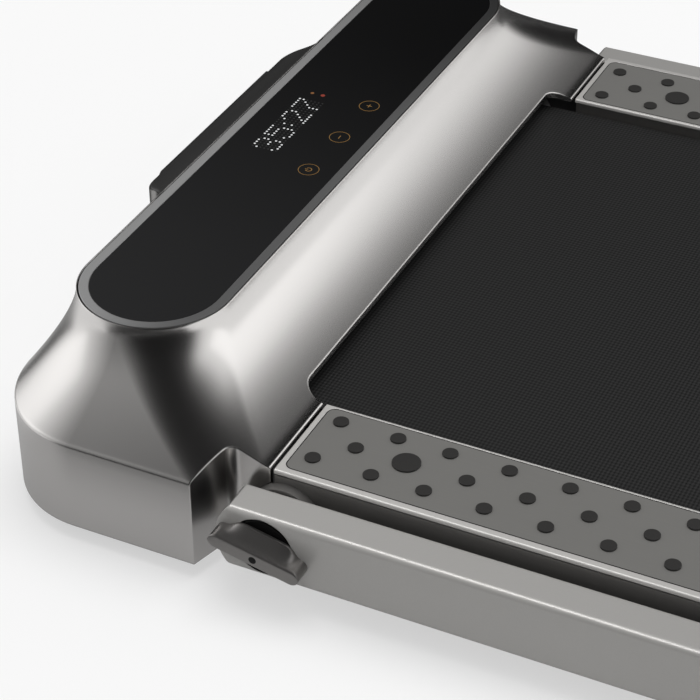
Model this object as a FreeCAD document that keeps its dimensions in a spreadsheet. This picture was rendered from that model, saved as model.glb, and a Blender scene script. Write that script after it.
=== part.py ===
import FreeCAD, Part
import Sketcher
import math
import os
import re

# Walking pad with a fold-down handrail. X runs across the belt to the walker's right, Y to the
# hood, Z up. The origin is on the floor, under the middle of the whole pad.

SIZES = {
    # Overall
    "total_length": 1340,
    "hood_width": 655,
    "rail_height": 78,
    # Hood: an upright wall up to the crease, then a flared skirt up to the console
    "hood_depth": 196,
    "hood_floor_gap": 12.5,
    "hood_wall": 3,
    "hood_gap": 3,
    "hood_corner_radius": 70,
    "hood_rear_radius": 36,
    "hood_top_radius": 52.8,
    "hood_top_flat": 0.6,
    "skirt_height": 58,
    "skirt_flare": 1.75,
    "rear_flare": 2.05,
    "side_run": 58,
    "front_run": 24,
    "rear_ledge": 3,
    "notch_clearance": 16.5,
    "notch_slant": 9.9,
    "notch_round": 9,
    "notch_side_gap": 1,
    "belt_cutout": 16.5,
    "belt_cutout_round": 15,
    "bump_half_width": 106.6,
    "bump_flare": 12.8,
    "bump_round": 20,
    "bump_setback": 3,
    "bump_fall": 8,
    # Console
    "rim_border": 1.5,
    "rim_groove": 0.7,
    "rim_width": 6.6,
    "rim_seat_width": 4.2,
    "rim_height": 5,
    "glass_thickness": 3,
    "glass_fit": 0.2,
    "board_length": 190,
    "board_width": 56,
    "board_thickness": 1.6,
    "cable_hole": 24,
    # Stand pad on the front of the hood
    "stand_pad_length": 168,
    "stand_pad_height": 20,
    "stand_pad_thickness": 2.6,
    "stand_pad_drop": 3,
    # Belly pan
    "pan_thickness": 2.5,
    "pan_fit": 0.4,
    "pan_rear_gap": 6,
    # Foot rails
    "rail_width": 75,
    "rail_depth": 56,
    "rail_wall": 2.5,
    "rail_inset": 3,
    "rail_overhang": 0.5,
    "cover_thickness": 3,
    "cover_groove": 1.2,
    "cover_round": 1.4,
    "tread_thickness": 1,
    "tread_inner_border": 2.3,
    "tread_outer_border": 5,
    "tread_end_border": 3.5,
    "tread_round": 6,
    "tread_fit": 0.15,
    "dot_radius": 5.1,
    "large_dot_radius": 9.2,
    "dot_height": 1.2,
    "dot_pitch": 40,
    "dot_row_one": 14.3,
    "dot_row_two": 34.4,
    "dot_row_three": 54.6,
    "dot_first": 16.7,
    "large_dot_first": 71.6,
    "dot_restart": 92.4,
    "tail_cap_length": 30,
    "tail_cap_round": 20,
    "tail_cap_edge": 3,
    # Belt, deck and rollers
    "belt_drop": 9,
    "belt_thickness": 2,
    "belt_side_gap": 4,
    "belt_clearance": 0.3,
    "roller_radius": 21,
    "roller_wall": 3,
    "roller_plug": 12,
    "roller_edge": 1.5,
    "roller_end_gap": 3,
    "front_roller_reach": 42,
    "rear_roller_inset": 14,
    "shaft_radius": 8,
    "shaft_overhang": 2,
    "axle_radius": 6,
    "axle_overhang": 4,
    "running_fit": 0.05,
    "deck_thickness": 15,
    "deck_edge": 5,
    "deck_end_gap": 4,
    "cushion_height": 6,
    "cushion_radius": 15,
    "cushion_inset": 30,
    "member_width": 40,
    "member_wall": 2,
    "member_clearance": 3.6,
    # Drive
    "plate_offset": 26,
    "plate_thickness": 6,
    "plate_length": 126,
    "plate_round": 12,
    "bearing_radius": 16,
    "pulley_width": 16,
    "pulley_side_gap": 4,
    "pulley_flange": 1.5,
    "pulley_flange_width": 1.5,
    "roller_pulley_radius": 27,
    "motor_pulley_radius": 11,
    "drive_belt_thickness": 2.4,
    "drive_belt_width": 12,
    "motor_radius": 38,
    "motor_wall": 5,
    "motor_length": 140,
    "motor_bell": 12,
    "motor_bell_taper": 8,
    "motor_floor_gap": 9,
    "motor_shaft_radius": 5.5,
    "motor_shaft_overhang": 1,
    "cradle_length": 80,
    "cradle_width": 64,
    "cradle_height": 26,
    "controller_gap": 20,
    "controller_length": 150,
    "controller_width": 69,
    "controller_height": 30,
    "controller_round": 4,
    "sink_base": 3,
    "fin_height": 14,
    "fin_thickness": 2.2,
    # Power socket and switch in the front of the hood
    "socket_from_middle": 130,
    "socket_window_length": 100,
    "socket_window_height": 34,
    "socket_panel_thickness": 4,
    "socket_panel_lap": 4,
    "inlet_length": 28,
    "inlet_height": 18,
    "inlet_depth": 28,
    "inlet_wall": 3,
    "inlet_cavity": 16,
    "inlet_lip": 5,
    "inlet_flange": 1.5,
    "inlet_offset": 20,
    "rocker_offset": 28,
    "rocker_radius": 11,
    "rocker_length": 15,
    "rocker_sink": 9,
    "rocker_cut": 1,
    "rocker_fit": 0.3,
    # Handrail
    "arm_thickness": 27.2,
    "arm_height": 47.7,
    "arm_wall": 2,
    "arm_round": 4,
    "arm_gap": 7.3,
    "arm_end_radius": 33,
    "elbow_inner_radius": 42,
    "grip_length": 260,
    "grip_thickness": 4,
    "tail_gap": 15,
    "pivot_setback": 9,
    "pivot_drop": 33,
    "pivot_radius": 8,
    "bracket_radius": 24,
    "bracket_length": 52,
    "bracket_gap": 0.8,
    "hub_length": 34,
    "hub_fit": 0.2,
    "rest_length": 40,
    "rest_thickness": 6,
    "rest_leg": 4.5,
    "rest_height": 26,
    "rest_from_elbow": 70,
    # Lock knob
    "recess_border": 2.85,
    "recess_depth": 8,
    "knob_fit": 1.5,
    "knob_gap": 0.4,
    "knob_disc_height": 4,
    "knob_bar_height": 9.5,
    "knob_bar_length": 63,
    "knob_bar_width": 10.4,
    "knob_waist_length": 50,
    "knob_waist_width": 15,
    "knob_base_length": 35,
    "knob_base_width": 29,
    "knob_tilt": 12,
    "knob_screw_radius": 2.4,
    "spindle_radius": 4,
    "spindle_length": 14,
    # Feet and transport wheels
    "foot_radius": 18,
    "foot_taper": 2.5,
    "front_foot_inset": 147.5,
    "front_foot_setback": 55,
    "rear_foot_inset": 35,
    "wheel_radius": 22,
    "wheel_width": 16,
    "wheel_edge": 3,
    "wheel_rim": 5,
    "wheel_floor_gap": 3,
    "wheel_inset": 65,
    "wheel_front_gap": 7,
    "wheel_window_gap": 2,
    "wheel_hub_radius": 9,
    "wheel_hub_sink": 2,
    "wheel_play": 0.6,
    "wheel_axle_radius": 4,
    "wheel_cheek": 2.5,
    "wheel_cheek_width": 22,
    "wheel_roof_gap": 3,
}

SIDES = {"left": -1, "right": 1}

# Places that several pieces share, written as formulas on the sizes
FRONT = "(total_length / 2)"
HOOD_REAR = f"({FRONT} - hood_depth)"
HOOD_SIDE = "(hood_width / 2)"
HOOD_BOTTOM = "hood_floor_gap"
HOOD_TOP = "(rail_height + skirt_height)"
REAR_RUN = "(hood_depth - rear_ledge - front_run - 2 * hood_top_radius)"
CONSOLE_X = f"({HOOD_SIDE} - side_run - hood_top_radius)"
CONSOLE_Y = f"({FRONT} - front_run - hood_top_radius)"
CONSOLE_FLOOR = f"({HOOD_TOP} - rim_height)"
RIM_RADIUS = "(hood_top_radius - rim_border)"
GLASS_RADIUS = f"({RIM_RADIUS} - rim_width)"
GLASS_SEAT = f"({HOOD_TOP} - glass_thickness)"
ARM_IN = f"({HOOD_SIDE} - arm_thickness)"
RAIL_OUT = f"({ARM_IN} - arm_gap)"
RAIL_IN = f"({RAIL_OUT} - rail_width)"
RAIL_FRONT = f"({HOOD_REAR} - hood_gap)"
RAIL_BOTTOM = "(rail_height - rail_depth)"
COVER_BOTTOM = "(rail_height - cover_thickness)"
RAIL_SEAT = f"({COVER_BOTTOM} - cover_groove)"
BEAM_IN = f"({RAIL_IN} + rail_inset)"
BEAM_OUT = f"({RAIL_OUT} - rail_overhang)"
PIVOT_Y = f"({RAIL_FRONT} - pivot_setback)"
PIVOT_Z = "(rail_height - pivot_drop)"
ARM_TOP = f"({PIVOT_Z} + arm_height / 2)"
ARM_BOTTOM = f"({PIVOT_Z} - arm_height / 2)"
RECESS_RADIUS = "(arm_height / 2 - recess_border)"
RECESS_FLOOR = f"({HOOD_SIDE} - recess_depth)"
CROSSBAR_REAR = "(grip_thickness - total_length / 2)"
CROSSBAR_FRONT = f"({CROSSBAR_REAR} + arm_thickness)"
BEND_X = f"({ARM_IN} - elbow_inner_radius)"
BEND_Y = f"({CROSSBAR_FRONT} + elbow_inner_radius)"
TAIL_END = f"({CROSSBAR_FRONT} + tail_gap)"
RAIL_END = f"({TAIL_END} + tail_cap_length)"
BELT_TOP = "(rail_height - belt_drop)"
BELT_INNER_RADIUS = "(roller_radius + belt_clearance)"
BELT_OUTER_RADIUS = f"({BELT_INNER_RADIUS} + belt_thickness)"
ROLLER_Z = f"({BELT_TOP} - {BELT_OUTER_RADIUS})"
FRONT_ROLLER_Y = f"({HOOD_REAR} + front_roller_reach)"
REAR_ROLLER_Y = f"({RAIL_END} + rear_roller_inset)"
BELT_HALF = f"({RAIL_IN} - belt_side_gap)"
DECK_TOP = f"({BELT_TOP} - belt_thickness)"
DECK_BOTTOM = f"({DECK_TOP} - deck_thickness)"
MEMBER_TOP = f"({DECK_BOTTOM} - cushion_height)"
MEMBER_BOTTOM = f"({ROLLER_Z} - {BELT_INNER_RADIUS} + member_clearance)"
PAN_TOP = f"({HOOD_BOTTOM} + pan_thickness)"
PAN_REAR = f"({FRONT_ROLLER_Y} + max(roller_pulley_radius; {BELT_OUTER_RADIUS}) + pan_rear_gap)"
PLATE_IN = f"({RAIL_IN} + plate_offset)"
PULLEY_OUT = f"({PLATE_IN} - pulley_side_gap)"
PULLEY_IN = f"({PULLEY_OUT} - pulley_width)"
MOTOR_Y = f"(({FRONT_ROLLER_Y} + {BELT_OUTER_RADIUS} + {FRONT} - hood_wall) / 2)"
MOTOR_Z = f"({PAN_TOP} + motor_floor_gap + motor_radius)"
MOTOR_LOW = f"(pulley_side_gap - {PULLEY_IN})"
MOTOR_HIGH = f"({MOTOR_LOW} + motor_length)"
BELL_END = f"({MOTOR_HIGH} + motor_bell)"
SOCKET_Z = f"(({HOOD_BOTTOM} + rail_height) / 2)"
WHEEL_X = f"({HOOD_SIDE} - wheel_inset)"
WHEEL_Y = f"({FRONT} - hood_wall - wheel_front_gap - wheel_radius)"
WHEEL_Z = "(wheel_floor_gap + wheel_radius)"

doc = FreeCAD.newDocument("walking_pad")
sheet = doc.addObject("Spreadsheet::Sheet", "Sizes")
for row, (alias, number) in enumerate(SIZES.items(), start=1):
    sheet.set(f"A{row}", alias)
    sheet.set(f"B{row}", str(number))
    sheet.setAlias(f"B{row}", alias)
doc.recompute()

nodes = {}


def formula(text):
    """A formula with every size written as the sheet knows it."""
    def named(word):
        return "Sizes." + word[0] if word[0] in SIZES else word[0]
    return re.sub(r"[a-z_]+", named, str(text))


def value(text):
    """What a formula comes to with the sizes in the sheet."""
    return float(sheet.evalExpression(formula(text)))


def node(label, piece):
    """Keep a finished piece under the name of its file."""
    piece.Label = label
    nodes[label] = piece
    return piece


def span(side, inner, outer):
    """The low and high X of something that reaches from inner to outer on one side."""
    return (inner, outer) if side > 0 else (f"-{outer}", f"-{inner}")


def about(middle, length, grow="0"):
    """The low and high ends of something centred on a middle and grown at each end."""
    return f"{middle} - {length} / 2 - {grow}", f"{middle} + {length} / 2 + {grow}"


def block(name, x, y, z):
    """A box between a low and a high face on each axis."""
    piece = doc.addObject("Part::Box", name)
    for length, axis, (low, high) in zip(("Length", "Width", "Height"), "xyz", (x, y, z)):
        piece.setExpression(length, formula(f"({high}) - ({low})"))
        piece.setExpression(f"Placement.Base.{axis}", formula(low))
    return piece


def rod(name, axis, reach, centre, radius, end_radius=None):
    """A round bar along an axis between two ends, or a cone where it has an end radius."""
    piece = doc.addObject("Part::Cone" if end_radius else "Part::Cylinder", name)
    turn = {"x": FreeCAD.Rotation(FreeCAD.Vector(0, 1, 0), 90),
            "y": FreeCAD.Rotation(FreeCAD.Vector(1, 0, 0), -90),
            "z": FreeCAD.Rotation()}[axis]
    piece.Placement = FreeCAD.Placement(FreeCAD.Vector(), turn)
    start, end = reach
    across = iter(centre)
    for letter in "xyz":
        place = start if letter == axis else next(across)
        piece.setExpression(f"Placement.Base.{letter}", formula(place))
    piece.setExpression("Height", formula(f"({end}) - ({start})"))
    piece.setExpression("Radius1" if end_radius else "Radius", formula(radius))
    if end_radius:
        piece.setExpression("Radius2", formula(end_radius))
    return piece


def cut(name, base, *tools):
    """The base with each tool taken out of it in turn."""
    for count, tool in enumerate(tools):
        result = doc.addObject("Part::Cut", f"{name}_cut_{count}")
        result.Base = base
        result.Tool = tool
        base = result
    return base


def fuse(name, *pieces):
    result = doc.addObject("Part::MultiFuse", name)
    result.Shapes = list(pieces)
    result.Refine = True
    return result


def common(name, first, second):
    result = doc.addObject("Part::Common", name)
    result.Base = first
    result.Tool = second
    return result


def group(name, *pieces):
    """Like pieces that stay separate solids under one name."""
    result = doc.addObject("Part::Compound", name)
    result.Links = list(pieces)
    return result


def new_body(name):
    return doc.addObject("PartDesign::Body", name)


def origin_feature(body, role):
    return next(item for item in body.Origin.OriginFeatures if item.Role == role)


def new_sketch(body, plane, offset):
    """A sketch on one of the body's own planes, moved along that plane's normal."""
    sketch = body.newObject("Sketcher::SketchObject", f"{body.Name}_sketch")
    sketch.AttachmentSupport = [(origin_feature(body, plane), "")]
    sketch.MapMode = "FlatFace"
    sketch.setExpression("AttachmentOffset.Base.z", formula(offset))
    return sketch


def dimension(sketch, kind, *where, size):
    """A driving dimension whose number follows a formula."""
    index = sketch.addConstraint(Sketcher.Constraint(kind, *where, value(size)))
    sketch.setExpression(f"Constraints[{index}]", formula(size))


def place_point(sketch, shape, point, x, y):
    dimension(sketch, "DistanceX", -1, 1, shape, point, size=x)
    dimension(sketch, "DistanceY", -1, 1, shape, point, size=y)


def outline(sketch, corners):
    """A closed outline of straight sides. A corner is (x, y), or (x, y, radius) where it is round."""
    spots = [FreeCAD.Vector(value(corner[0]), value(corner[1]), 0) for corner in corners]
    count = len(corners)
    starts, ends, arcs = [], [], {}
    for index, corner in enumerate(corners):
        spot = spots[index]
        back = (spots[index - 1] - spot).normalize()
        ahead = (spots[(index + 1) % count] - spot).normalize()
        if len(corner) == 2:
            starts.append(spot)
            ends.append(spot)
            continue
        radius = value(corner[2])
        half_angle = back.getAngle(ahead) / 2
        trim = radius / math.tan(half_angle)
        bisector = (back + ahead).normalize()
        middle = spot + bisector * (radius / math.sin(half_angle) - radius)
        ends.append(spot + back * trim)
        starts.append(spot + ahead * trim)
        arcs[index] = Part.Arc(ends[index], middle, starts[index])
    sides = []
    for index in range(count):
        sides.append(sketch.addGeometry(Part.LineSegment(starts[index], ends[(index + 1) % count])))
    for index, corner in enumerate(corners):
        before, after = sides[index - 1], sides[index]
        if index not in arcs:
            sketch.addConstraint(Sketcher.Constraint("Coincident", before, 2, after, 1))
            place_point(sketch, after, 1, corner[0], corner[1])
            continue
        arc = sketch.addGeometry(arcs[index])
        head, tail = (1, 2)
        if (sketch.getPoint(arc, 1) - ends[index]).Length > (sketch.getPoint(arc, 2) - ends[index]).Length:
            head, tail = (2, 1)
        sketch.addConstraint(Sketcher.Constraint("Tangent", before, 2, arc, head))
        sketch.addConstraint(Sketcher.Constraint("Tangent", arc, tail, after, 1))
        dimension(sketch, "Radius", arc, size=corner[2])
        sharp = sketch.addGeometry(Part.Point(spots[index]), True)
        sketch.addConstraint(Sketcher.Constraint("PointOnObject", sharp, 1, before))
        sketch.addConstraint(Sketcher.Constraint("PointOnObject", sharp, 1, after))
        place_point(sketch, sharp, 1, corner[0], corner[1])


def rectangle(sketch, x, y, radius=None):
    """A rectangle between low and high formulas, with all four corners round if it has a radius."""
    tail = (radius,) if radius else ()
    outline(sketch, [(x[0], y[0]) + tail, (x[1], y[0]) + tail, (x[1], y[1]) + tail, (x[0], y[1]) + tail])


def circle(sketch, x, y, radius):
    shape = sketch.addGeometry(Part.Circle(FreeCAD.Vector(value(x), value(y), 0),
                                           FreeCAD.Vector(0, 0, 1), value(radius)))
    dimension(sketch, "Radius", shape, size=radius)
    place_point(sketch, shape, 3, x, y)


def loop(sketch, first, second):
    """A belt line round two circles, each (x, y, radius): two arcs joined by their outer tangents."""
    x1, y1, r1 = [value(item) for item in first]
    x2, y2, r2 = [value(item) for item in second]
    lean = math.atan2(y2 - y1, x2 - x1)
    wrap = math.acos((r1 - r2) / math.hypot(x2 - x1, y2 - y1))

    def on(x, y, radius, angle):
        return FreeCAD.Vector(x + radius * math.cos(angle), y + radius * math.sin(angle), 0)
    lower = sketch.addGeometry(Part.LineSegment(on(x1, y1, r1, lean - wrap), on(x2, y2, r2, lean - wrap)))
    far = sketch.addGeometry(Part.Arc(on(x2, y2, r2, lean - wrap), on(x2, y2, r2, lean),
                                      on(x2, y2, r2, lean + wrap)))
    upper = sketch.addGeometry(Part.LineSegment(on(x2, y2, r2, lean + wrap), on(x1, y1, r1, lean + wrap)))
    near = sketch.addGeometry(Part.Arc(on(x1, y1, r1, lean + wrap), on(x1, y1, r1, lean + math.pi),
                                       on(x1, y1, r1, lean - wrap)))
    for one, other in ((lower, far), (far, upper), (upper, near), (near, lower)):
        sketch.addConstraint(Sketcher.Constraint("Tangent", one, 2, other, 1))
    for arc, (x, y, radius) in ((near, first), (far, second)):
        place_point(sketch, arc, 3, x, y)
        dimension(sketch, "Radius", arc, size=radius)


def pad(body, sketch, length):
    feature = body.newObject("PartDesign::Pad", f"{body.Name}_pad")
    feature.Profile = sketch
    feature.setExpression("Length", formula(length))
    return feature


def pad_between(body, plane, low, high):
    """A sketch at the low end of a pad that reaches to the high end."""
    sketch = new_sketch(body, plane, low)
    pad(body, sketch, f"({high}) - ({low})")
    return sketch


def pocket(body, sketch, depth):
    feature = body.newObject("PartDesign::Pocket", f"{body.Name}_pocket")
    feature.Profile = sketch
    feature.setExpression("Length", formula(depth))
    return feature


def loft(body, sections):
    feature = body.newObject("PartDesign::AdditiveLoft", f"{body.Name}_loft")
    feature.Profile = sections[0]
    feature.Sections = sections[1:]
    return feature


def turned(name, place, profile):
    """A piece turned about an X axis at a place (y, z). The profile's corners are (x, radius)."""
    body = new_body(name)
    sketch = new_sketch(body, "XZ_Plane", "0")
    outline(sketch, profile)
    feature = body.newObject("PartDesign::Revolution", f"{name}_turn")
    feature.Profile = sketch
    feature.ReferenceAxis = (origin_feature(body, "X_Axis"), [""])
    feature.Angle = 360
    body.setExpression("Placement.Base.y", formula(place[0]))
    body.setExpression("Placement.Base.z", formula(place[1]))
    return body


# Hood: level lines from the crease up to the console, each a rounded rectangle. The skirt falls
# steeply at the console and spreads towards the crease by a power of the fall.
def hood_line(body, fall, inset, height):
    flare, sweep = f"{fall}^skirt_flare", f"{fall}^rear_flare"
    half = f"({HOOD_SIDE} - side_run * (1 - {flare}) - {inset})"
    front = f"({FRONT} - front_run * (1 - {flare}) - {inset})"
    rear = f"({HOOD_REAR} + rear_ledge + {REAR_RUN} * (1 - {sweep}) + {inset})"
    top_round = "(hood_top_radius - hood_top_flat / 2)"
    rear_round = f"({top_round} * (1 - {flare}) + hood_rear_radius * {flare} - {inset})"
    front_round = f"({top_round} * (1 - {flare}) + hood_corner_radius * {flare} - {inset})"
    sketch = new_sketch(body, "XY_Plane", height)
    outline(sketch, [(f"-{half}", rear, rear_round), (half, rear, rear_round),
                     (half, front, front_round), (f"-{half}", front, front_round)])
    return sketch


def hood_base(body, inset, low, high):
    """The upright wall under the crease."""
    half = f"({HOOD_SIDE} - {inset})"
    front = f"({FRONT} - {inset})"
    rear = f"({HOOD_REAR} + {inset})"
    corner = f"(hood_corner_radius - {inset})"
    outline(pad_between(body, "XY_Plane", low, high),
            [(f"-{half}", rear), (half, rear), (half, front, corner), (f"-{half}", front, corner)])


LEVELS = (1, 0.8, 0.6, 0.4, 0.2, 0)
hood_form = new_body("hood_form")
loft(hood_form, [hood_line(hood_form, fall, 0, f"({HOOD_TOP} - skirt_height * {fall})") for fall in LEVELS])
hood_base(hood_form, 0, HOOD_BOTTOM, "rail_height")

# Raised boss on the front of the skirt, with ends that sweep back to the console
BUMP_FRONT = f"({FRONT} - bump_setback)"
BUMP_FOOT = f"({CONSOLE_Y} + {RIM_RADIUS})"
bump_foot = "(bump_half_width + bump_flare)"
bump_root = "(bump_half_width + 4 * bump_flare)"
outline(pad_between(hood_form, "XY_Plane", "rail_height", HOOD_TOP),
        [(f"-{bump_root}", CONSOLE_Y), (bump_root, CONSOLE_Y), (bump_root, BUMP_FOOT),
         (bump_foot, BUMP_FOOT, "bump_round"), ("bump_half_width", BUMP_FRONT, "bump_round"),
         ("-bump_half_width", BUMP_FRONT, "bump_round"), (f"-{bump_foot}", BUMP_FOOT, "bump_round"),
         (f"-{bump_root}", BUMP_FOOT)])
bump_slope = new_body("bump_slope")
outline(pad_between(bump_slope, "YZ_Plane", f"-{bump_root}", bump_root),
        [(BUMP_FOOT, HOOD_TOP), (BUMP_FRONT, f"{HOOD_TOP} - bump_fall"),
         (f"{FRONT} + bump_fall", f"{HOOD_TOP} - bump_fall"),
         (f"{FRONT} + bump_fall", f"{HOOD_TOP} + bump_fall"),
         (BUMP_FOOT, f"{HOOD_TOP} + bump_fall")])

# The hollow follows the outside a wall's thickness in and down, and keeps clear of the arm notches
hood_hollow = new_body("hood_hollow")
loft(hood_hollow, [hood_line(hood_hollow, fall, "hood_wall", f"({HOOD_TOP} - skirt_height * {fall} - hood_wall)")
                   for fall in LEVELS[:-1]])
hood_base(hood_hollow, "hood_wall", f"{HOOD_BOTTOM} - hood_wall", "rail_height - hood_wall")


def notch(name, side, wall):
    """The space for an arm's front end at a rear corner of the hood, grown by a wall."""
    inner = f"({RAIL_OUT} - notch_side_gap - {wall})"
    outer = f"({HOOD_SIDE} + hood_wall)"
    slope = f"(notch_slant / ({HOOD_SIDE} - {RAIL_OUT}))"
    at_side = f"({PIVOT_Y} + arm_end_radius + notch_clearance + {wall})"
    deep = f"({at_side} + {slope} * hood_wall)"
    shallow = f"({at_side} - {slope} * ({HOOD_SIDE} - {inner}))"
    back = f"({HOOD_REAR} - hood_wall)"
    body = new_body(name)
    outline(pad_between(body, "XY_Plane", f"{HOOD_BOTTOM} - hood_wall", HOOD_TOP),
            [(f"{side} * {inner}", back), (f"{side} * {outer}", back), (f"{side} * {outer}", deep),
             (f"{side} * {inner}", shallow, f"notch_round + {wall}")])
    return body


hollow = cut("hood_hollow_clear", hood_hollow, notch("keep_left", -1, "hood_wall"),
             notch("keep_right", 1, "hood_wall"))
mouth_half = f"({RAIL_OUT} - notch_side_gap - hood_wall)"
rear_mouth = block("rear_mouth", (f"-{mouth_half}", mouth_half),
                   (f"{HOOD_REAR} - hood_wall", f"{HOOD_REAR} + 2 * hood_wall"),
                   (f"{HOOD_BOTTOM} - hood_wall", "rail_height - hood_wall"))
belt_mouth = new_body("belt_mouth")
outline(pad_between(belt_mouth, "XY_Plane", "rail_height - 2 * hood_wall", HOOD_TOP),
        [(f"-{RAIL_IN}", f"{HOOD_REAR} - hood_wall"), (RAIL_IN, f"{HOOD_REAR} - hood_wall"),
         (RAIL_IN, f"{HOOD_REAR} + belt_cutout", "belt_cutout_round"),
         (f"-{RAIL_IN}", f"{HOOD_REAR} + belt_cutout", "belt_cutout_round")])
console_pocket = new_body("console_pocket")
pocket_radius = f"({RIM_RADIUS} + rim_groove)"
loop(pad_between(console_pocket, "XY_Plane", CONSOLE_FLOOR, f"{HOOD_TOP} + rim_height"),
     (f"-{CONSOLE_X}", CONSOLE_Y, pocket_radius), (CONSOLE_X, CONSOLE_Y, pocket_radius))
cable_hole = rod("cable_hole", "z", (f"{HOOD_TOP} - skirt_height / 2", HOOD_TOP), ("0", CONSOLE_Y),
                 "cable_hole / 2")
socket_window = block("socket_window", about("socket_from_middle", "socket_window_length"),
                      (f"{FRONT} - 2 * hood_wall", f"{FRONT} + hood_wall"), about(SOCKET_Z, "socket_window_height"))
node("hood_shell", cut("hood_shell", hood_form, bump_slope, hollow, notch("notch_left", -1, "0"),
                       notch("notch_right", 1, "0"), rear_mouth, belt_mouth, console_pocket, cable_hole,
                       socket_window))

# Console: a flat metal rim let into the hood, dark glass in the rim, and the display board under it
console_rim = node("console_rim", new_body("console_rim"))
for low, high, inside in ((CONSOLE_FLOOR, GLASS_SEAT, f"({GLASS_RADIUS} - rim_seat_width)"),
                          (GLASS_SEAT, HOOD_TOP, f"({GLASS_RADIUS} + glass_fit)")):
    sketch = pad_between(console_rim, "XY_Plane", low, high)
    for radius in (RIM_RADIUS, inside):
        loop(sketch, (f"-{CONSOLE_X}", CONSOLE_Y, radius), (CONSOLE_X, CONSOLE_Y, radius))
console_glass = node("console_glass", new_body("console_glass"))
loop(pad_between(console_glass, "XY_Plane", GLASS_SEAT, HOOD_TOP),
     (f"-{CONSOLE_X}", CONSOLE_Y, GLASS_RADIUS), (CONSOLE_X, CONSOLE_Y, GLASS_RADIUS))
node("display_board", block("display_board", about("0", "board_length"), about(CONSOLE_Y, "board_width"),
                            (CONSOLE_FLOOR, f"{CONSOLE_FLOOR} + board_thickness")))

# Stand pad: a rubber strip on the boss, which the pad rests on when it is stored upright
stand_pad = node("stand_pad", new_body("stand_pad"))
stand_top = f"({HOOD_TOP} - bump_fall - stand_pad_drop)"
rectangle(pad_between(stand_pad, "XZ_Plane", f"-{BUMP_FRONT} - stand_pad_thickness", f"-{BUMP_FRONT}"),
          about("0", "stand_pad_length"), (f"{stand_top} - stand_pad_height", stand_top), "stand_pad_height / 4")

# Belly pan: closes the hood from below, with windows for the transport wheels
belly_pan = node("belly_pan", new_body("belly_pan"))
pan_half = f"({HOOD_SIDE} - hood_wall - pan_fit)"
pan_front = f"({FRONT} - hood_wall - pan_fit)"
pan_round = "(hood_corner_radius - hood_wall - pan_fit)"
outline(pad_between(belly_pan, "XY_Plane", HOOD_BOTTOM, PAN_TOP),
        [(f"-{pan_half}", PAN_REAR), (pan_half, PAN_REAR), (pan_half, pan_front, pan_round),
         (f"-{pan_half}", pan_front, pan_round)])
wheel_windows = new_sketch(belly_pan, "XY_Plane", PAN_TOP)
for side in SIDES.values():
    rectangle(wheel_windows, about(f"{side} * {WHEEL_X}", "wheel_width", "wheel_play"),
              about(WHEEL_Y, "2 * wheel_radius", "wheel_window_gap"))
pocket(belly_pan, wheel_windows, "pan_thickness")

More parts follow.
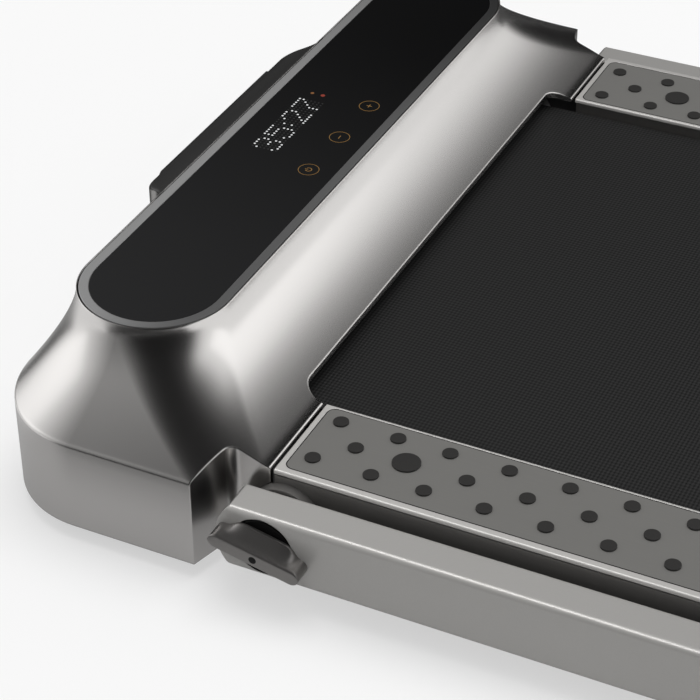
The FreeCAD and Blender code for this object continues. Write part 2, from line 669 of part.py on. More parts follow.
# Foot rails: a hollow beam, a cover on it, a steel tread let into the cover, and rubber dots
for name, side in SIDES.items():
    beam = new_body(f"beam_{name}")
    sketch = new_sketch(beam, "XZ_Plane", f"-{RAIL_FRONT}")
    rectangle(sketch, span(side, BEAM_IN, BEAM_OUT), (RAIL_BOTTOM, RAIL_SEAT))
    rectangle(sketch, span(side, f"({BEAM_IN} + rail_wall)", f"({BEAM_OUT} - rail_wall)"),
              (f"{RAIL_BOTTOM} + rail_wall", f"{RAIL_SEAT} - rail_wall"))
    pad(beam, sketch, f"{RAIL_FRONT} - {RAIL_END}")
    axle_hole = rod("axle_hole", "x", span(side, f"({BEAM_IN} - rail_wall)", f"({BEAM_IN} + 2 * rail_wall)"),
                    (REAR_ROLLER_Y, ROLLER_Z), "axle_radius + running_fit")
    node(f"side_rail_{name}", cut(f"side_rail_{name}", beam, axle_hole))

    # Cover: a flat cap with softened edges, held by a rib that stands on the beam
    cover = node(f"rail_cover_{name}", new_body(f"rail_cover_{name}"))
    sketch = new_sketch(cover, "XZ_Plane", f"-{RAIL_FRONT}")
    inner, outer = f"{side} * {RAIL_IN}", f"{side} * {RAIL_OUT}"
    rib_in, rib_out = f"{side} * ({RAIL_IN} + 2 * rail_inset)", f"{side} * ({RAIL_OUT} - rail_inset)"
    outline(sketch, [(inner, COVER_BOTTOM), (rib_in, COVER_BOTTOM), (rib_in, RAIL_SEAT), (rib_out, RAIL_SEAT),
                     (rib_out, COVER_BOTTOM), (outer, COVER_BOTTOM), (outer, "rail_height", "cover_round"),
                     (inner, "rail_height", "cover_round")])
    pad(cover, sketch, f"{RAIL_FRONT} - {RAIL_END}")
    recess = new_sketch(cover, "XY_Plane", "rail_height")
    rectangle(recess, span(side, f"({RAIL_IN} + tread_inner_border)", f"({RAIL_OUT} - tread_outer_border)"),
              (f"{RAIL_END} + tread_end_border", f"{RAIL_FRONT} - tread_end_border"), "tread_round")
    pocket(cover, recess, "tread_thickness")

    tread = node(f"tread_plate_{name}", new_body(f"tread_plate_{name}"))
    rectangle(pad_between(tread, "XY_Plane", "rail_height - tread_thickness", "rail_height"),
              span(side, f"({RAIL_IN} + tread_inner_border + tread_fit)",
                   f"({RAIL_OUT} - tread_outer_border - tread_fit)"),
              (f"{RAIL_END} + tread_end_border + tread_fit", f"{RAIL_FRONT} - tread_end_border - tread_fit"),
              "tread_round")

    # Three staggered rows of dots; a large dot breaks the middle row near the hood
    dots = node(f"grip_dots_{name}", new_body(f"grip_dots_{name}"))
    dots.AllowCompound = True
    sketch = pad_between(dots, "XY_Plane", "rail_height", "rail_height + dot_height")
    rows = [f"{side} * ({RAIL_IN} + {row})" for row in ("dot_row_one", "dot_row_two", "dot_row_three")]
    for row in (rows[0], rows[2]):
        circle(sketch, row, f"{RAIL_FRONT} - dot_first", "dot_radius")
        circle(sketch, row, f"{RAIL_FRONT} - dot_first - dot_pitch", "dot_radius")
    circle(sketch, rows[1], f"{RAIL_FRONT} - dot_first - dot_pitch / 2", "dot_radius")
    circle(sketch, rows[1], f"{RAIL_FRONT} - large_dot_first", "large_dot_radius")
    sketch = new_sketch(dots, "XY_Plane", "rail_height")
    for row, shift in zip(rows, ("0", "dot_pitch / 2", "0")):
        circle(sketch, row, f"{RAIL_FRONT} - dot_restart - {shift}", "dot_radius")
    unit = pad(dots, sketch, "dot_height")
    repeat = dots.newObject("PartDesign::LinearPattern", f"dot_rows_{name}")
    repeat.Originals = [unit]
    repeat.Direction = (origin_feature(dots, "Y_Axis"), [""])
    repeat.Reversed = True
    repeat.Mode = "Spacing"
    repeat.setExpression("Offset", formula("dot_pitch"))
    run = f"{RAIL_FRONT} - {RAIL_END} - dot_restart - 2 * dot_radius - tread_end_border"
    repeat.setExpression("Occurrences", formula(f"floor(({run} - dot_pitch / 2) / dot_pitch) + 1"))
    dots.Tip = repeat

    # Tail cap: closes the rear end of a foot rail; its top edge is softened all round but at the joint
    cap = node(f"tail_cap_{name}", new_body(f"tail_cap_{name}"))
    outline(pad_between(cap, "XY_Plane", RAIL_BOTTOM, "rail_height"),
            [(inner, RAIL_END), (inner, TAIL_END, "tail_cap_round / 4"), (outer, TAIL_END, "tail_cap_round"),
             (outer, RAIL_END)])
    doc.recompute()
    block_of_cap = cap.Tip
    soft = []
    for index, edge in enumerate(block_of_cap.Shape.Edges, start=1):
        middle = edge.valueAt((edge.FirstParameter + edge.LastParameter) / 2)
        if middle.z > value("rail_height") - 0.01 and middle.y < value(RAIL_END) - 0.01:
            soft.append(f"Edge{index}")
    softened = cap.newObject("PartDesign::Fillet", f"soft_edge_{name}")
    softened.Base = (block_of_cap, soft)
    softened.setExpression("Radius", formula("tail_cap_edge"))

# Deck: a board on rubber cushions over three hollow cross members between the beams
front_edge = f"({FRONT_ROLLER_Y} - {BELT_INNER_RADIUS} - deck_end_gap)"
rear_edge = f"({REAR_ROLLER_Y} + {BELT_INNER_RADIUS} + deck_end_gap)"
deck_board = node("deck_board", new_body("deck_board"))
outline(pad_between(deck_board, "YZ_Plane", f"-{BELT_HALF}", BELT_HALF),
        [(rear_edge, DECK_BOTTOM), (front_edge, DECK_BOTTOM), (front_edge, DECK_TOP, "deck_edge"),
         (rear_edge, DECK_TOP, "deck_edge")])
cross_members = node("cross_members", new_body("cross_members"))
cross_members.AllowCompound = True
sketch = pad_between(cross_members, "YZ_Plane", f"-{BEAM_IN}", BEAM_IN)
cushions = []
for share in (0.08, 0.5, 0.92):
    middle = f"({RAIL_END} + {share} * ({RAIL_FRONT} - {RAIL_END}))"
    rectangle(sketch, about(middle, "member_width"), (MEMBER_BOTTOM, MEMBER_TOP))
    rectangle(sketch, about(middle, "member_width", "(0 - member_wall)"),
              (f"{MEMBER_BOTTOM} + member_wall", f"{MEMBER_TOP} - member_wall"))
    for side in SIDES.values():
        cushions.append(rod("cushion", "z", (MEMBER_TOP, DECK_BOTTOM),
                            (f"{side} * ({BELT_HALF} - cushion_inset)", middle), "cushion_radius"))
node("deck_cushions", group("deck_cushions", *cushions))

# Running belt: one endless loop round both rollers and the deck
running_belt = node("running_belt", new_body("running_belt"))
sketch = pad_between(running_belt, "YZ_Plane", f"-{BELT_HALF}", BELT_HALF)
for radius in (BELT_INNER_RADIUS, BELT_OUTER_RADIUS):
    loop(sketch, (REAR_ROLLER_Y, ROLLER_Z, radius), (FRONT_ROLLER_Y, ROLLER_Z, radius))

# Rollers: tubes with plugged ends. The front one is driven and turns with its shaft, the rear one
# turns on a fixed axle
ROLLER_END = f"({BEAM_IN} - roller_end_gap)"
PLUG_END = f"({ROLLER_END} - roller_plug)"
ROLLER_INSIDE = "(roller_radius - roller_wall)"
for end, place, core in (("front", FRONT_ROLLER_Y, "shaft_radius"), ("rear", REAR_ROLLER_Y, "axle_radius")):
    bore = f"({core} + running_fit)"
    node(f"{end}_roller", turned(f"{end}_roller", (place, ROLLER_Z),
                                 [(f"-{ROLLER_END}", bore), (f"-{PLUG_END}", bore),
                                  (f"-{PLUG_END}", ROLLER_INSIDE), (PLUG_END, ROLLER_INSIDE), (PLUG_END, bore),
                                  (ROLLER_END, bore), (ROLLER_END, "roller_radius", "roller_edge"),
                                  (f"-{ROLLER_END}", "roller_radius", "roller_edge")]))
SHAFT_END = f"({PLATE_IN} + plate_thickness + shaft_overhang)"
node("front_roller_shaft", rod("front_roller_shaft", "x", (f"-{SHAFT_END}", SHAFT_END),
                               (FRONT_ROLLER_Y, ROLLER_Z), "shaft_radius"))
AXLE_END = f"({BEAM_IN} + rail_wall + axle_overhang)"
node("rear_axle", rod("rear_axle", "x", (f"-{AXLE_END}", AXLE_END), (REAR_ROLLER_Y, ROLLER_Z), "axle_radius"))

# Front plates carry the driven roller in two bearings, ahead of the foot rails
bearings = []
for name, side in SIDES.items():
    across = span(side, PLATE_IN, f"({PLATE_IN} + plate_thickness)")
    plate = node(f"front_plate_{name}", new_body(f"front_plate_{name}"))
    sketch = pad_between(plate, "YZ_Plane", *across)
    outline(sketch, [(RAIL_FRONT, PAN_TOP), (f"{RAIL_FRONT} + plate_length", PAN_TOP),
                     (f"{RAIL_FRONT} + plate_length", RAIL_SEAT, "plate_round"), (RAIL_FRONT, RAIL_SEAT)])
    circle(sketch, FRONT_ROLLER_Y, ROLLER_Z, "bearing_radius + running_fit")
    ring = rod("bearing_ring", "x", across, (FRONT_ROLLER_Y, ROLLER_Z), "bearing_radius")
    hole = rod("bearing_hole", "x", across, (FRONT_ROLLER_Y, ROLLER_Z), "shaft_radius + running_fit")
    bearings.append(cut("bearing", ring, hole))
node("roller_bearings", group("roller_bearings", *bearings))


# Drive: motor across the hood, a small pulley, a ribbed belt and the pulley on the roller's shaft
def pulley(name, place, radius, core):
    """A pulley with a flange on each side of the belt's track."""
    bore, flange = f"({core} + running_fit)", f"({radius} + pulley_flange)"
    left, right = f"(0 - {PULLEY_OUT})", f"(0 - {PULLEY_IN})"
    track_left, track_right = f"({left} + pulley_flange_width)", f"({right} - pulley_flange_width)"
    return node(name, turned(name, place, [(left, bore), (right, bore), (right, flange), (track_right, flange),
                                           (track_right, radius), (track_left, radius), (track_left, flange),
                                           (left, flange)]))


pulley("roller_pulley", (FRONT_ROLLER_Y, ROLLER_Z), "roller_pulley_radius", "shaft_radius")
pulley("motor_pulley", (MOTOR_Y, MOTOR_Z), "motor_pulley_radius", "motor_shaft_radius")
drive_belt = node("drive_belt", new_body("drive_belt"))
sketch = pad_between(drive_belt, "YZ_Plane", *about(f"((0 - {PULLEY_OUT} - {PULLEY_IN}) / 2)", "drive_belt_width"))
for grow in ("belt_clearance", "(belt_clearance + drive_belt_thickness)"):
    loop(sketch, (FRONT_ROLLER_Y, ROLLER_Z, f"(roller_pulley_radius + {grow})"),
         (MOTOR_Y, MOTOR_Z, f"(motor_pulley_radius + {grow})"))
motor_bore, motor_inside = "(motor_shaft_radius + running_fit)", "(motor_radius - motor_wall)"
node("motor_can", turned("motor_can", (MOTOR_Y, MOTOR_Z),
                         [(MOTOR_LOW, motor_bore), (f"{MOTOR_LOW} + motor_wall", motor_bore),
                          (f"{MOTOR_LOW} + motor_wall", motor_inside), (MOTOR_HIGH, motor_inside),
                          (MOTOR_HIGH, motor_bore), (BELL_END, motor_bore),
                          (BELL_END, "motor_radius - motor_bell_taper"), (MOTOR_HIGH, "motor_radius"),
                          (MOTOR_LOW, "motor_radius")]))
node("motor_shaft", rod("motor_shaft", "x", (f"-{PULLEY_OUT} - motor_shaft_overhang", BELL_END),
                        (MOTOR_Y, MOTOR_Z), "motor_shaft_radius"))
cradle = block("cradle", about(f"({MOTOR_LOW} + motor_length / 2)", "cradle_length"),
               about(MOTOR_Y, "cradle_width"), (PAN_TOP, f"{PAN_TOP} + cradle_height"))
saddle = rod("saddle", "x", (MOTOR_LOW, MOTOR_HIGH), (MOTOR_Y, MOTOR_Z), "motor_radius + running_fit")
node("motor_cradle", cut("motor_cradle", cradle, saddle))

# Motor controller with a finned heat sink on top
CONTROLLER_LOW = f"({BELL_END} + controller_gap)"
CONTROLLER_TOP = f"({PAN_TOP} + controller_height)"
FIN_COUNT = 9
controller_x = (CONTROLLER_LOW, f"({CONTROLLER_LOW} + controller_length)")
controller_y = about(MOTOR_Y, "controller_width")
controller_box = node("controller_box", new_body("controller_box"))
rectangle(pad_between(controller_box, "XY_Plane", PAN_TOP, CONTROLLER_TOP), controller_x, controller_y,
          "controller_round")
heat_sink = node("heat_sink", new_body("heat_sink"))
rectangle(pad_between(heat_sink, "XY_Plane", CONTROLLER_TOP, f"{CONTROLLER_TOP} + sink_base"), controller_x,
          controller_y)
sketch = new_sketch(heat_sink, "XY_Plane", f"{CONTROLLER_TOP} + sink_base")
rectangle(sketch, (CONTROLLER_LOW, f"{CONTROLLER_LOW} + fin_thickness"), controller_y)
fin = pad(heat_sink, sketch, "fin_height")
fins = heat_sink.newObject("PartDesign::LinearPattern", "fins")
fins.Originals = [fin]
fins.Direction = (origin_feature(heat_sink, "X_Axis"), [""])
fins.setExpression("Length", formula("controller_length - fin_thickness"))
fins.Occurrences = FIN_COUNT
heat_sink.Tip = fins

# Power socket panel behind a window in the hood's front, with the mains inlet and the rocker switch
panel_front = f"({FRONT} - hood_wall)"
panel_back = f"({panel_front} - socket_panel_thickness)"
panel = block("panel", about("socket_from_middle", "socket_window_length", "socket_panel_lap"),
              (panel_back, panel_front), about(SOCKET_Z, "socket_window_height", "socket_panel_lap"))
inlet_x = "(socket_from_middle + inlet_offset)"
rocker_x = "(socket_from_middle - rocker_offset)"
inlet_body = block("inlet_body", about(inlet_x, "inlet_length"), (f"{panel_front} - inlet_depth", panel_front),
                   about(SOCKET_Z, "inlet_height"))
inlet_flange = block("inlet_flange", about(inlet_x, "inlet_length", "inlet_lip"),
                     (panel_front, f"{panel_front} + inlet_flange"), about(SOCKET_Z, "inlet_height", "inlet_lip"))
inlet_cavity = block("inlet_cavity", about(inlet_x, "inlet_length", "(0 - inlet_wall)"),
                     (f"{panel_front} - inlet_cavity", FRONT), about(SOCKET_Z, "inlet_height", "(0 - inlet_wall)"))
node("power_inlet", cut("power_inlet", fuse("inlet_blank", inlet_body, inlet_flange), inlet_cavity))
inlet_window = block("inlet_window", about(inlet_x, "inlet_length", "glass_fit"),
                     (f"{panel_back} - hood_wall", FRONT), about(SOCKET_Z, "inlet_height", "glass_fit"))
rocker_axis = (f"{panel_front} - rocker_sink", SOCKET_Z)
rocker_window = rod("rocker_window", "x", about(rocker_x, "rocker_length", "rocker_fit"), rocker_axis,
                    "rocker_radius + rocker_fit")
node("socket_panel", cut("socket_panel", panel, inlet_window, rocker_window))
rocker_barrel = rod("rocker_barrel", "x", about(rocker_x, "rocker_length"), rocker_axis, "rocker_radius")
rocker_front = block("rocker_front", about(rocker_x, "rocker_length"),
                     (f"{rocker_axis[0]} + rocker_cut", f"{rocker_axis[0]} + 2 * rocker_radius"),
                     about(SOCKET_Z, "2 * rocker_radius"))
node("switch_rocker", common("switch_rocker", rocker_barrel, rocker_front))

# Handrail: two tubes along the deck that swing up on pins beside the hood, joined by a crossbar
# behind the tail
for name, side in SIDES.items():
    plate_reach = span(side, BEAM_OUT, f"({ARM_IN} - bracket_gap)")
    pivot = (PIVOT_Y, PIVOT_Z)
    knuckle = rod("knuckle", "x", plate_reach, pivot, "bracket_radius")
    web = block("web", plate_reach, (f"{PIVOT_Y} - bracket_length", PIVOT_Y),
                (f"{PIVOT_Z} - bracket_radius", f"{PIVOT_Z} + bracket_radius / 2"))
    pin_hole = rod("pin_hole", "x", plate_reach, pivot, "pivot_radius + running_fit")
    node(f"hinge_bracket_{name}", cut(f"hinge_bracket_{name}", fuse("bracket_blank", knuckle, web), pin_hole))
    pin_end = f"({RECESS_FLOOR} - knob_gap)"
    pin = rod("pin", "x", span(side, BEAM_OUT, pin_end), pivot, "pivot_radius")
    thread = rod("thread", "x", span(side, f"({pin_end} - spindle_length - knob_gap)", f"({pin_end} + knob_gap)"),
                 pivot, "spindle_radius + running_fit")
    node(f"pivot_pin_{name}", cut(f"pivot_pin_{name}", pin, thread))

    tube = new_body(f"tube_{name}")
    sketch = new_sketch(tube, "XZ_Plane", f"-({PIVOT_Y} + arm_end_radius)")
    rectangle(sketch, span(side, ARM_IN, HOOD_SIDE), (ARM_BOTTOM, ARM_TOP), "arm_round")
    rectangle(sketch, span(side, f"({ARM_IN} + arm_wall)", f"({HOOD_SIDE} - arm_wall)"),
              (f"{ARM_BOTTOM} + arm_wall", f"{ARM_TOP} - arm_wall"), "arm_round - arm_wall")
    pad(tube, sketch, f"{PIVOT_Y} + arm_end_radius - {BEND_Y}")
    reach = span(side, f"({ARM_IN} - arm_wall)", f"({HOOD_SIDE} + arm_wall)")
    nose = rod("nose", "x", reach, pivot, "arm_end_radius")
    shank = block("shank", reach, (f"{BEND_Y} - arm_wall", PIVOT_Y),
                  (f"{ARM_BOTTOM} - arm_wall", f"{ARM_TOP} + arm_wall"))
    shaped = common(f"arm_shape_{name}", tube, fuse("arm_form", nose, shank))
    recess = rod("recess", "x", span(side, f"({HOOD_SIDE} - 2 * arm_wall)", f"({HOOD_SIDE} + arm_wall)"), pivot,
                 RECESS_RADIUS)
    inner_hole = rod("inner_hole", "x", span(side, f"({ARM_IN} - arm_wall)", f"({ARM_IN} + 2 * arm_wall)"), pivot,
                     "pivot_radius + bracket_gap")
    node(f"arm_{name}", cut(f"arm_{name}", shaped, recess, inner_hole))

    # Hub: the block in the arm's front end that turns on the pin and holds the knob's recess
    wall = "(arm_wall + hub_fit)"
    hub_reach = span(side, f"({ARM_IN} + {wall})", f"({HOOD_SIDE} - {wall})")
    hub_block = new_body(f"hub_block_{name}")
    sketch = new_sketch(hub_block, "XZ_Plane", f"-({PIVOT_Y} + arm_end_radius)")
    rectangle(sketch, hub_reach, (f"{ARM_BOTTOM} + {wall}", f"{ARM_TOP} - {wall}"), "arm_round - arm_wall")
    pad(hub_block, sketch, "arm_end_radius + hub_length")
    hub_nose = rod("hub_nose", "x", hub_reach, pivot, "arm_end_radius - arm_wall / 2")
    hub_back = block("hub_back", hub_reach, (f"{PIVOT_Y} - hub_length", PIVOT_Y), (ARM_BOTTOM, ARM_TOP))
    hub_blank = common("hub_blank", hub_block, fuse("hub_form", hub_nose, hub_back))
    cup = rod("cup", "x", span(side, RECESS_FLOOR, f"({HOOD_SIDE} + arm_wall)"), pivot,
              f"{RECESS_RADIUS} - hub_fit")
    hub_bore = rod("hub_bore", "x", span(side, ARM_IN, HOOD_SIDE), pivot, "pivot_radius + running_fit")
    node(f"arm_hub_{name}", cut(f"arm_hub_{name}", hub_blank, cup, hub_bore))

    # Lock knob: a disc in the recess with a bar grip hollowed on both flanks, screwed into the pin
    knob = node(f"lock_knob_{name}", new_body(f"lock_knob_{name}"))
    disc_top = f"({HOOD_SIDE} + knob_disc_height)"
    circle(pad_between(knob, "YZ_Plane", *span(side, f"({RECESS_FLOOR} + knob_gap)", disc_top)), "0", "0",
           f"{RECESS_RADIUS} - knob_fit")
    bar_sections = []
    for rise, length, width in (("0", "knob_base_length", "knob_base_width"),
                                ("knob_bar_height * 0.4", "knob_waist_length", "knob_waist_width"),
                                ("knob_bar_height", "knob_bar_length", "knob_bar_width")):
        section = new_sketch(knob, "YZ_Plane", f"{side} * ({disc_top} + {rise})")
        rectangle(section, about("0", length), about("0", width), "knob_bar_width * 0.48")
        bar_sections.append(section)
    loft(knob, bar_sections)
    circle(pad_between(knob, "YZ_Plane", *span(side, f"({pin_end} - spindle_length)",
                                               f"({RECESS_FLOOR} + knob_gap)")), "0", "0", "spindle_radius")
    screw_hole = new_sketch(knob, "YZ_Plane", f"{side} * ({disc_top} + knob_bar_height)")
    circle(screw_hole, "0", "0", "knob_screw_radius")
    pocket(knob, screw_hole, "knob_bar_height / 2").Reversed = side < 0
    knob.Placement = FreeCAD.Placement(FreeCAD.Vector(), FreeCAD.Rotation(FreeCAD.Vector(1, 0, 0), SIZES["knob_tilt"]))
    knob.setExpression("Placement.Rotation.Angle", formula("knob_tilt"))
    knob.setExpression("Placement.Base.y", formula(PIVOT_Y))
    knob.setExpression("Placement.Base.z", formula(PIVOT_Z))

    # Elbow: the arm's tube bent a quarter turn round the corner behind the tail
    elbow = node(f"elbow_{name}", new_body(f"elbow_{name}"))
    sketch = new_sketch(elbow, "XZ_Plane", "0")
    rectangle(sketch, ("elbow_inner_radius", "elbow_inner_radius + arm_thickness"), (ARM_BOTTOM, ARM_TOP),
              "arm_round")
    rectangle(sketch, ("elbow_inner_radius + arm_wall", "elbow_inner_radius + arm_thickness - arm_wall"),
              (f"{ARM_BOTTOM} + arm_wall", f"{ARM_TOP} - arm_wall"), "arm_round - arm_wall")
    bend = elbow.newObject("PartDesign::Revolution", f"bend_{name}")
    bend.Profile = sketch
    bend.ReferenceAxis = (origin_feature(elbow, "Z_Axis"), [""])
    bend.Angle = 90
    start = -90 if side > 0 else 180
    elbow.Placement = FreeCAD.Placement(FreeCAD.Vector(), FreeCAD.Rotation(FreeCAD.Vector(0, 0, 1), start))
    elbow.setExpression("Placement.Base.x", formula(f"{side} * {BEND_X}"))
    elbow.setExpression("Placement.Base.y", formula(BEND_Y))

crossbar = node("crossbar", new_body("crossbar"))
sketch = pad_between(crossbar, "YZ_Plane", f"-{BEND_X}", BEND_X)
rectangle(sketch, (CROSSBAR_REAR, CROSSBAR_FRONT), (ARM_BOTTOM, ARM_TOP), "arm_round")
rectangle(sketch, (f"{CROSSBAR_REAR} + arm_wall", f"{CROSSBAR_FRONT} - arm_wall"),
          (f"{ARM_BOTTOM} + arm_wall", f"{ARM_TOP} - arm_wall"), "arm_round - arm_wall")
foam_grip = node("foam_grip", new_body("foam_grip"))
sketch = pad_between(foam_grip, "YZ_Plane", *about("0", "grip_length"))
for grow in ("grip_thickness", "running_fit"):
    rectangle(sketch, (f"{CROSSBAR_REAR} - {grow}", f"{CROSSBAR_FRONT} + {grow}"),
              (f"{ARM_BOTTOM} - {grow}", f"{ARM_TOP} + {grow}"), f"(arm_round + {grow})")

# Arm rests: angle brackets on the beams that the folded arms lie on
arm_rests = node("arm_rests", new_body("arm_rests"))
arm_rests.AllowCompound = True
sketch = new_sketch(arm_rests, "XZ_Plane", f"-({BEND_Y} + rest_from_elbow + rest_length)")
shelf_top = f"({ARM_BOTTOM} - belt_clearance)"
for side in SIDES.values():
    wall_in, wall_out = f"{side} * {BEAM_OUT}", f"{side} * ({BEAM_OUT} + rest_leg)"
    shelf_out = f"{side} * ({HOOD_SIDE} - arm_round)"
    outline(sketch, [(wall_in, f"{shelf_top} - rest_thickness"), (shelf_out, f"{shelf_top} - rest_thickness"),
                     (shelf_out, shelf_top), (wall_out, shelf_top), (wall_out, f"{shelf_top} + rest_height"),
                     (wall_in, f"{shelf_top} + rest_height")])
pad(arm_rests, sketch, "rest_length")

# Rubber feet under the hood and the rear ends of the beams
front_feet, rear_feet = [], []
for side in SIDES.values():
    front_feet.append(rod("front_foot", "z", ("0", HOOD_BOTTOM),
                          (f"{side} * ({HOOD_SIDE} - front_foot_inset)", f"{FRONT} - front_foot_setback"),
                          "foot_radius - foot_taper", "foot_radius"))
    rear_feet.append(rod("rear_foot", "z", ("0", RAIL_BOTTOM),
                         (f"{side} * ({BEAM_IN} + {BEAM_OUT}) / 2", f"{RAIL_END} + rear_foot_inset"),
                         "foot_radius - foot_taper", "foot_radius"))
node("front_feet", group("front_feet", *front_feet))
node("rear_feet", group("rear_feet", *rear_feet))

# Transport wheels on axles in folded brackets that stand on the belly pan
brackets, axles = [], []
for name, side in SIDES.items():
    middle = f"({side} * {WHEEL_X})"
    low, high = about(middle, "wheel_width")
    low_sink, high_sink = f"{low} + wheel_hub_sink", f"{high} - wheel_hub_sink"
    bore, rim, hub = "(wheel_axle_radius + running_fit)", "(wheel_radius - wheel_rim)", "wheel_hub_radius"
    node(f"wheel_{name}", turned(f"wheel_{name}", (WHEEL_Y, WHEEL_Z),
                                 [(low, bore), (high, bore), (high, hub), (high_sink, hub), (high_sink, rim),
                                  (high, rim), (high, "wheel_radius", "wheel_edge"),
                                  (low, "wheel_radius", "wheel_edge"), (low, rim), (low_sink, rim),
                                  (low_sink, hub), (low, hub)]))
    roof = f"({WHEEL_Z} + wheel_radius + wheel_roof_gap)"
    inside = about(middle, "wheel_width", "wheel_play")
    outside = about(middle, "wheel_width", "(wheel_play + wheel_cheek)")
    folded = new_body(f"folded_bracket_{name}")
    sketch = new_sketch(folded, "XZ_Plane", f"-({WHEEL_Y} + wheel_cheek_width / 2)")
    outline(sketch, [(outside[0], PAN_TOP), (inside[0], PAN_TOP), (inside[0], roof), (inside[1], roof),
                     (inside[1], PAN_TOP), (outside[1], PAN_TOP),
                     (outside[1], f"{roof} + wheel_cheek", "wheel_cheek"),
                     (outside[0], f"{roof} + wheel_cheek", "wheel_cheek")])
    pad(folded, sketch, "wheel_cheek_width")
    axle_bore = rod("axle_bore", "x", outside, (WHEEL_Y, WHEEL_Z), "wheel_axle_radius + running_fit")
    brackets.append(cut(f"wheel_bracket_{name}", folded, axle_bore))
    axles.append(rod("wheel_axle", "x", outside, (WHEEL_Y, WHEEL_Z), "wheel_axle_radius"))
node("wheel_brackets", group("wheel_brackets", *brackets))
node("wheel_axles", group("wheel_axles", *axles))

doc.recompute()

faults = [item.Label for item in doc.Objects if "Invalid" in item.State or "Error" in item.State]
for label, piece in nodes.items():
    if piece.Shape.isNull() or not piece.Shape.isValid() or not piece.Shape.Solids:
        faults.append(label)
if faults:
    raise RuntimeError("these did not build: " + ", ".join(faults))

os.makedirs("parts", exist_ok=True)
for label, piece in nodes.items():
    piece.Shape.exportStep(f"parts/{label}.step")
print(len(nodes), "pieces written")
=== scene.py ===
import math

import bmesh
import bpy
from mathutils import Matrix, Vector
import numpy as np


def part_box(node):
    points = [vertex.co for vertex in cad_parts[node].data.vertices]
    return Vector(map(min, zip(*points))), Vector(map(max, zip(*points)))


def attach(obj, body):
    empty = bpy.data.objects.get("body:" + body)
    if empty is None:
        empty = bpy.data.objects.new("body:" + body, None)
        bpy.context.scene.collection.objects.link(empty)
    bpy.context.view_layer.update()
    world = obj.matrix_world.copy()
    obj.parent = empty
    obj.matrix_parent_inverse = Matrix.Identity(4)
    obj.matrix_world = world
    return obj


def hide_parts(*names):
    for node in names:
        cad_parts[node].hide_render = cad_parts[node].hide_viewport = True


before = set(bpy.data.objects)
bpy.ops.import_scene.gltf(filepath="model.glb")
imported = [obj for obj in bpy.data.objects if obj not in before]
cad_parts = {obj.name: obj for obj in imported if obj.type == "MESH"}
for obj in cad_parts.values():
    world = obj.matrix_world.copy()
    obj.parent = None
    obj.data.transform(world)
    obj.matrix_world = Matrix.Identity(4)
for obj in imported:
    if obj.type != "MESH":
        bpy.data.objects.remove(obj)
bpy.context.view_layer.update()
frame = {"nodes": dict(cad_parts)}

# Studio: a pale floor that runs out of sight, a white surround, soft lamps, and black flags that only
# reflections show. The camera stands at the walker's left, looks down across the hood and has a
# long lens.
CAMERA_PLACE = np.array([-1.265125, -0.059477, 0.964203])
CAMERA_TURN = math.radians(296.15)
CAMERA_DROP = math.radians(35.72)
CAMERA_ROLL = math.radians(0.49)
CAMERA_LENS = 117.82
SURROUND_LIGHT = 0.45
FLOOR_HALF = 30.0
SOFTBOX_AIM, SOFTBOX_SIZE, SOFTBOX_POWER = (0, 0.55, 0.1), (1.9, 1.5), 3.8
TENT_MIDDLE, TENT_RADIUS, TENT_COLUMNS = (0, 0.58, 0), 5.0, 49
WINDOWS_FROM = (0, 0.58, 0.1)
CLOTH_HEIGHT, REFLECTOR_HEIGHT = 0.0015, 0.085


class Link:
    """A socket that can be used in sums: each operator adds a Math node to the same tree."""

    def __init__(self, nodes, socket):
        self.nodes = nodes
        self.socket = socket

    def sum(self, operation, first, second=0.0):
        return self.nodes.add("ShaderNodeMath", {"operation": operation},
                              {"Value": first, "Value_001": second})["Value"]

    def larger(self, other):
        return self.sum("MAXIMUM", self, other)

    def __abs__(self):
        return self.sum("ABSOLUTE", self)

    def __add__(self, other):
        return self.sum("ADD", self, other)

    def __sub__(self, other):
        return self.sum("SUBTRACT", self, other)

    def __rsub__(self, other):
        return self.sum("SUBTRACT", other, self)

    def __mul__(self, other):
        return self.sum("MULTIPLY", self, other)

    def __truediv__(self, other):
        return self.sum("DIVIDE", self, other)

    def __pow__(self, other):
        return self.sum("POWER", self, other)

    def __gt__(self, other):
        return self.sum("GREATER_THAN", self, other)

    def __lt__(self, other):
        return self.sum("LESS_THAN", self, other)

    __radd__ = __add__
    __rmul__ = __mul__


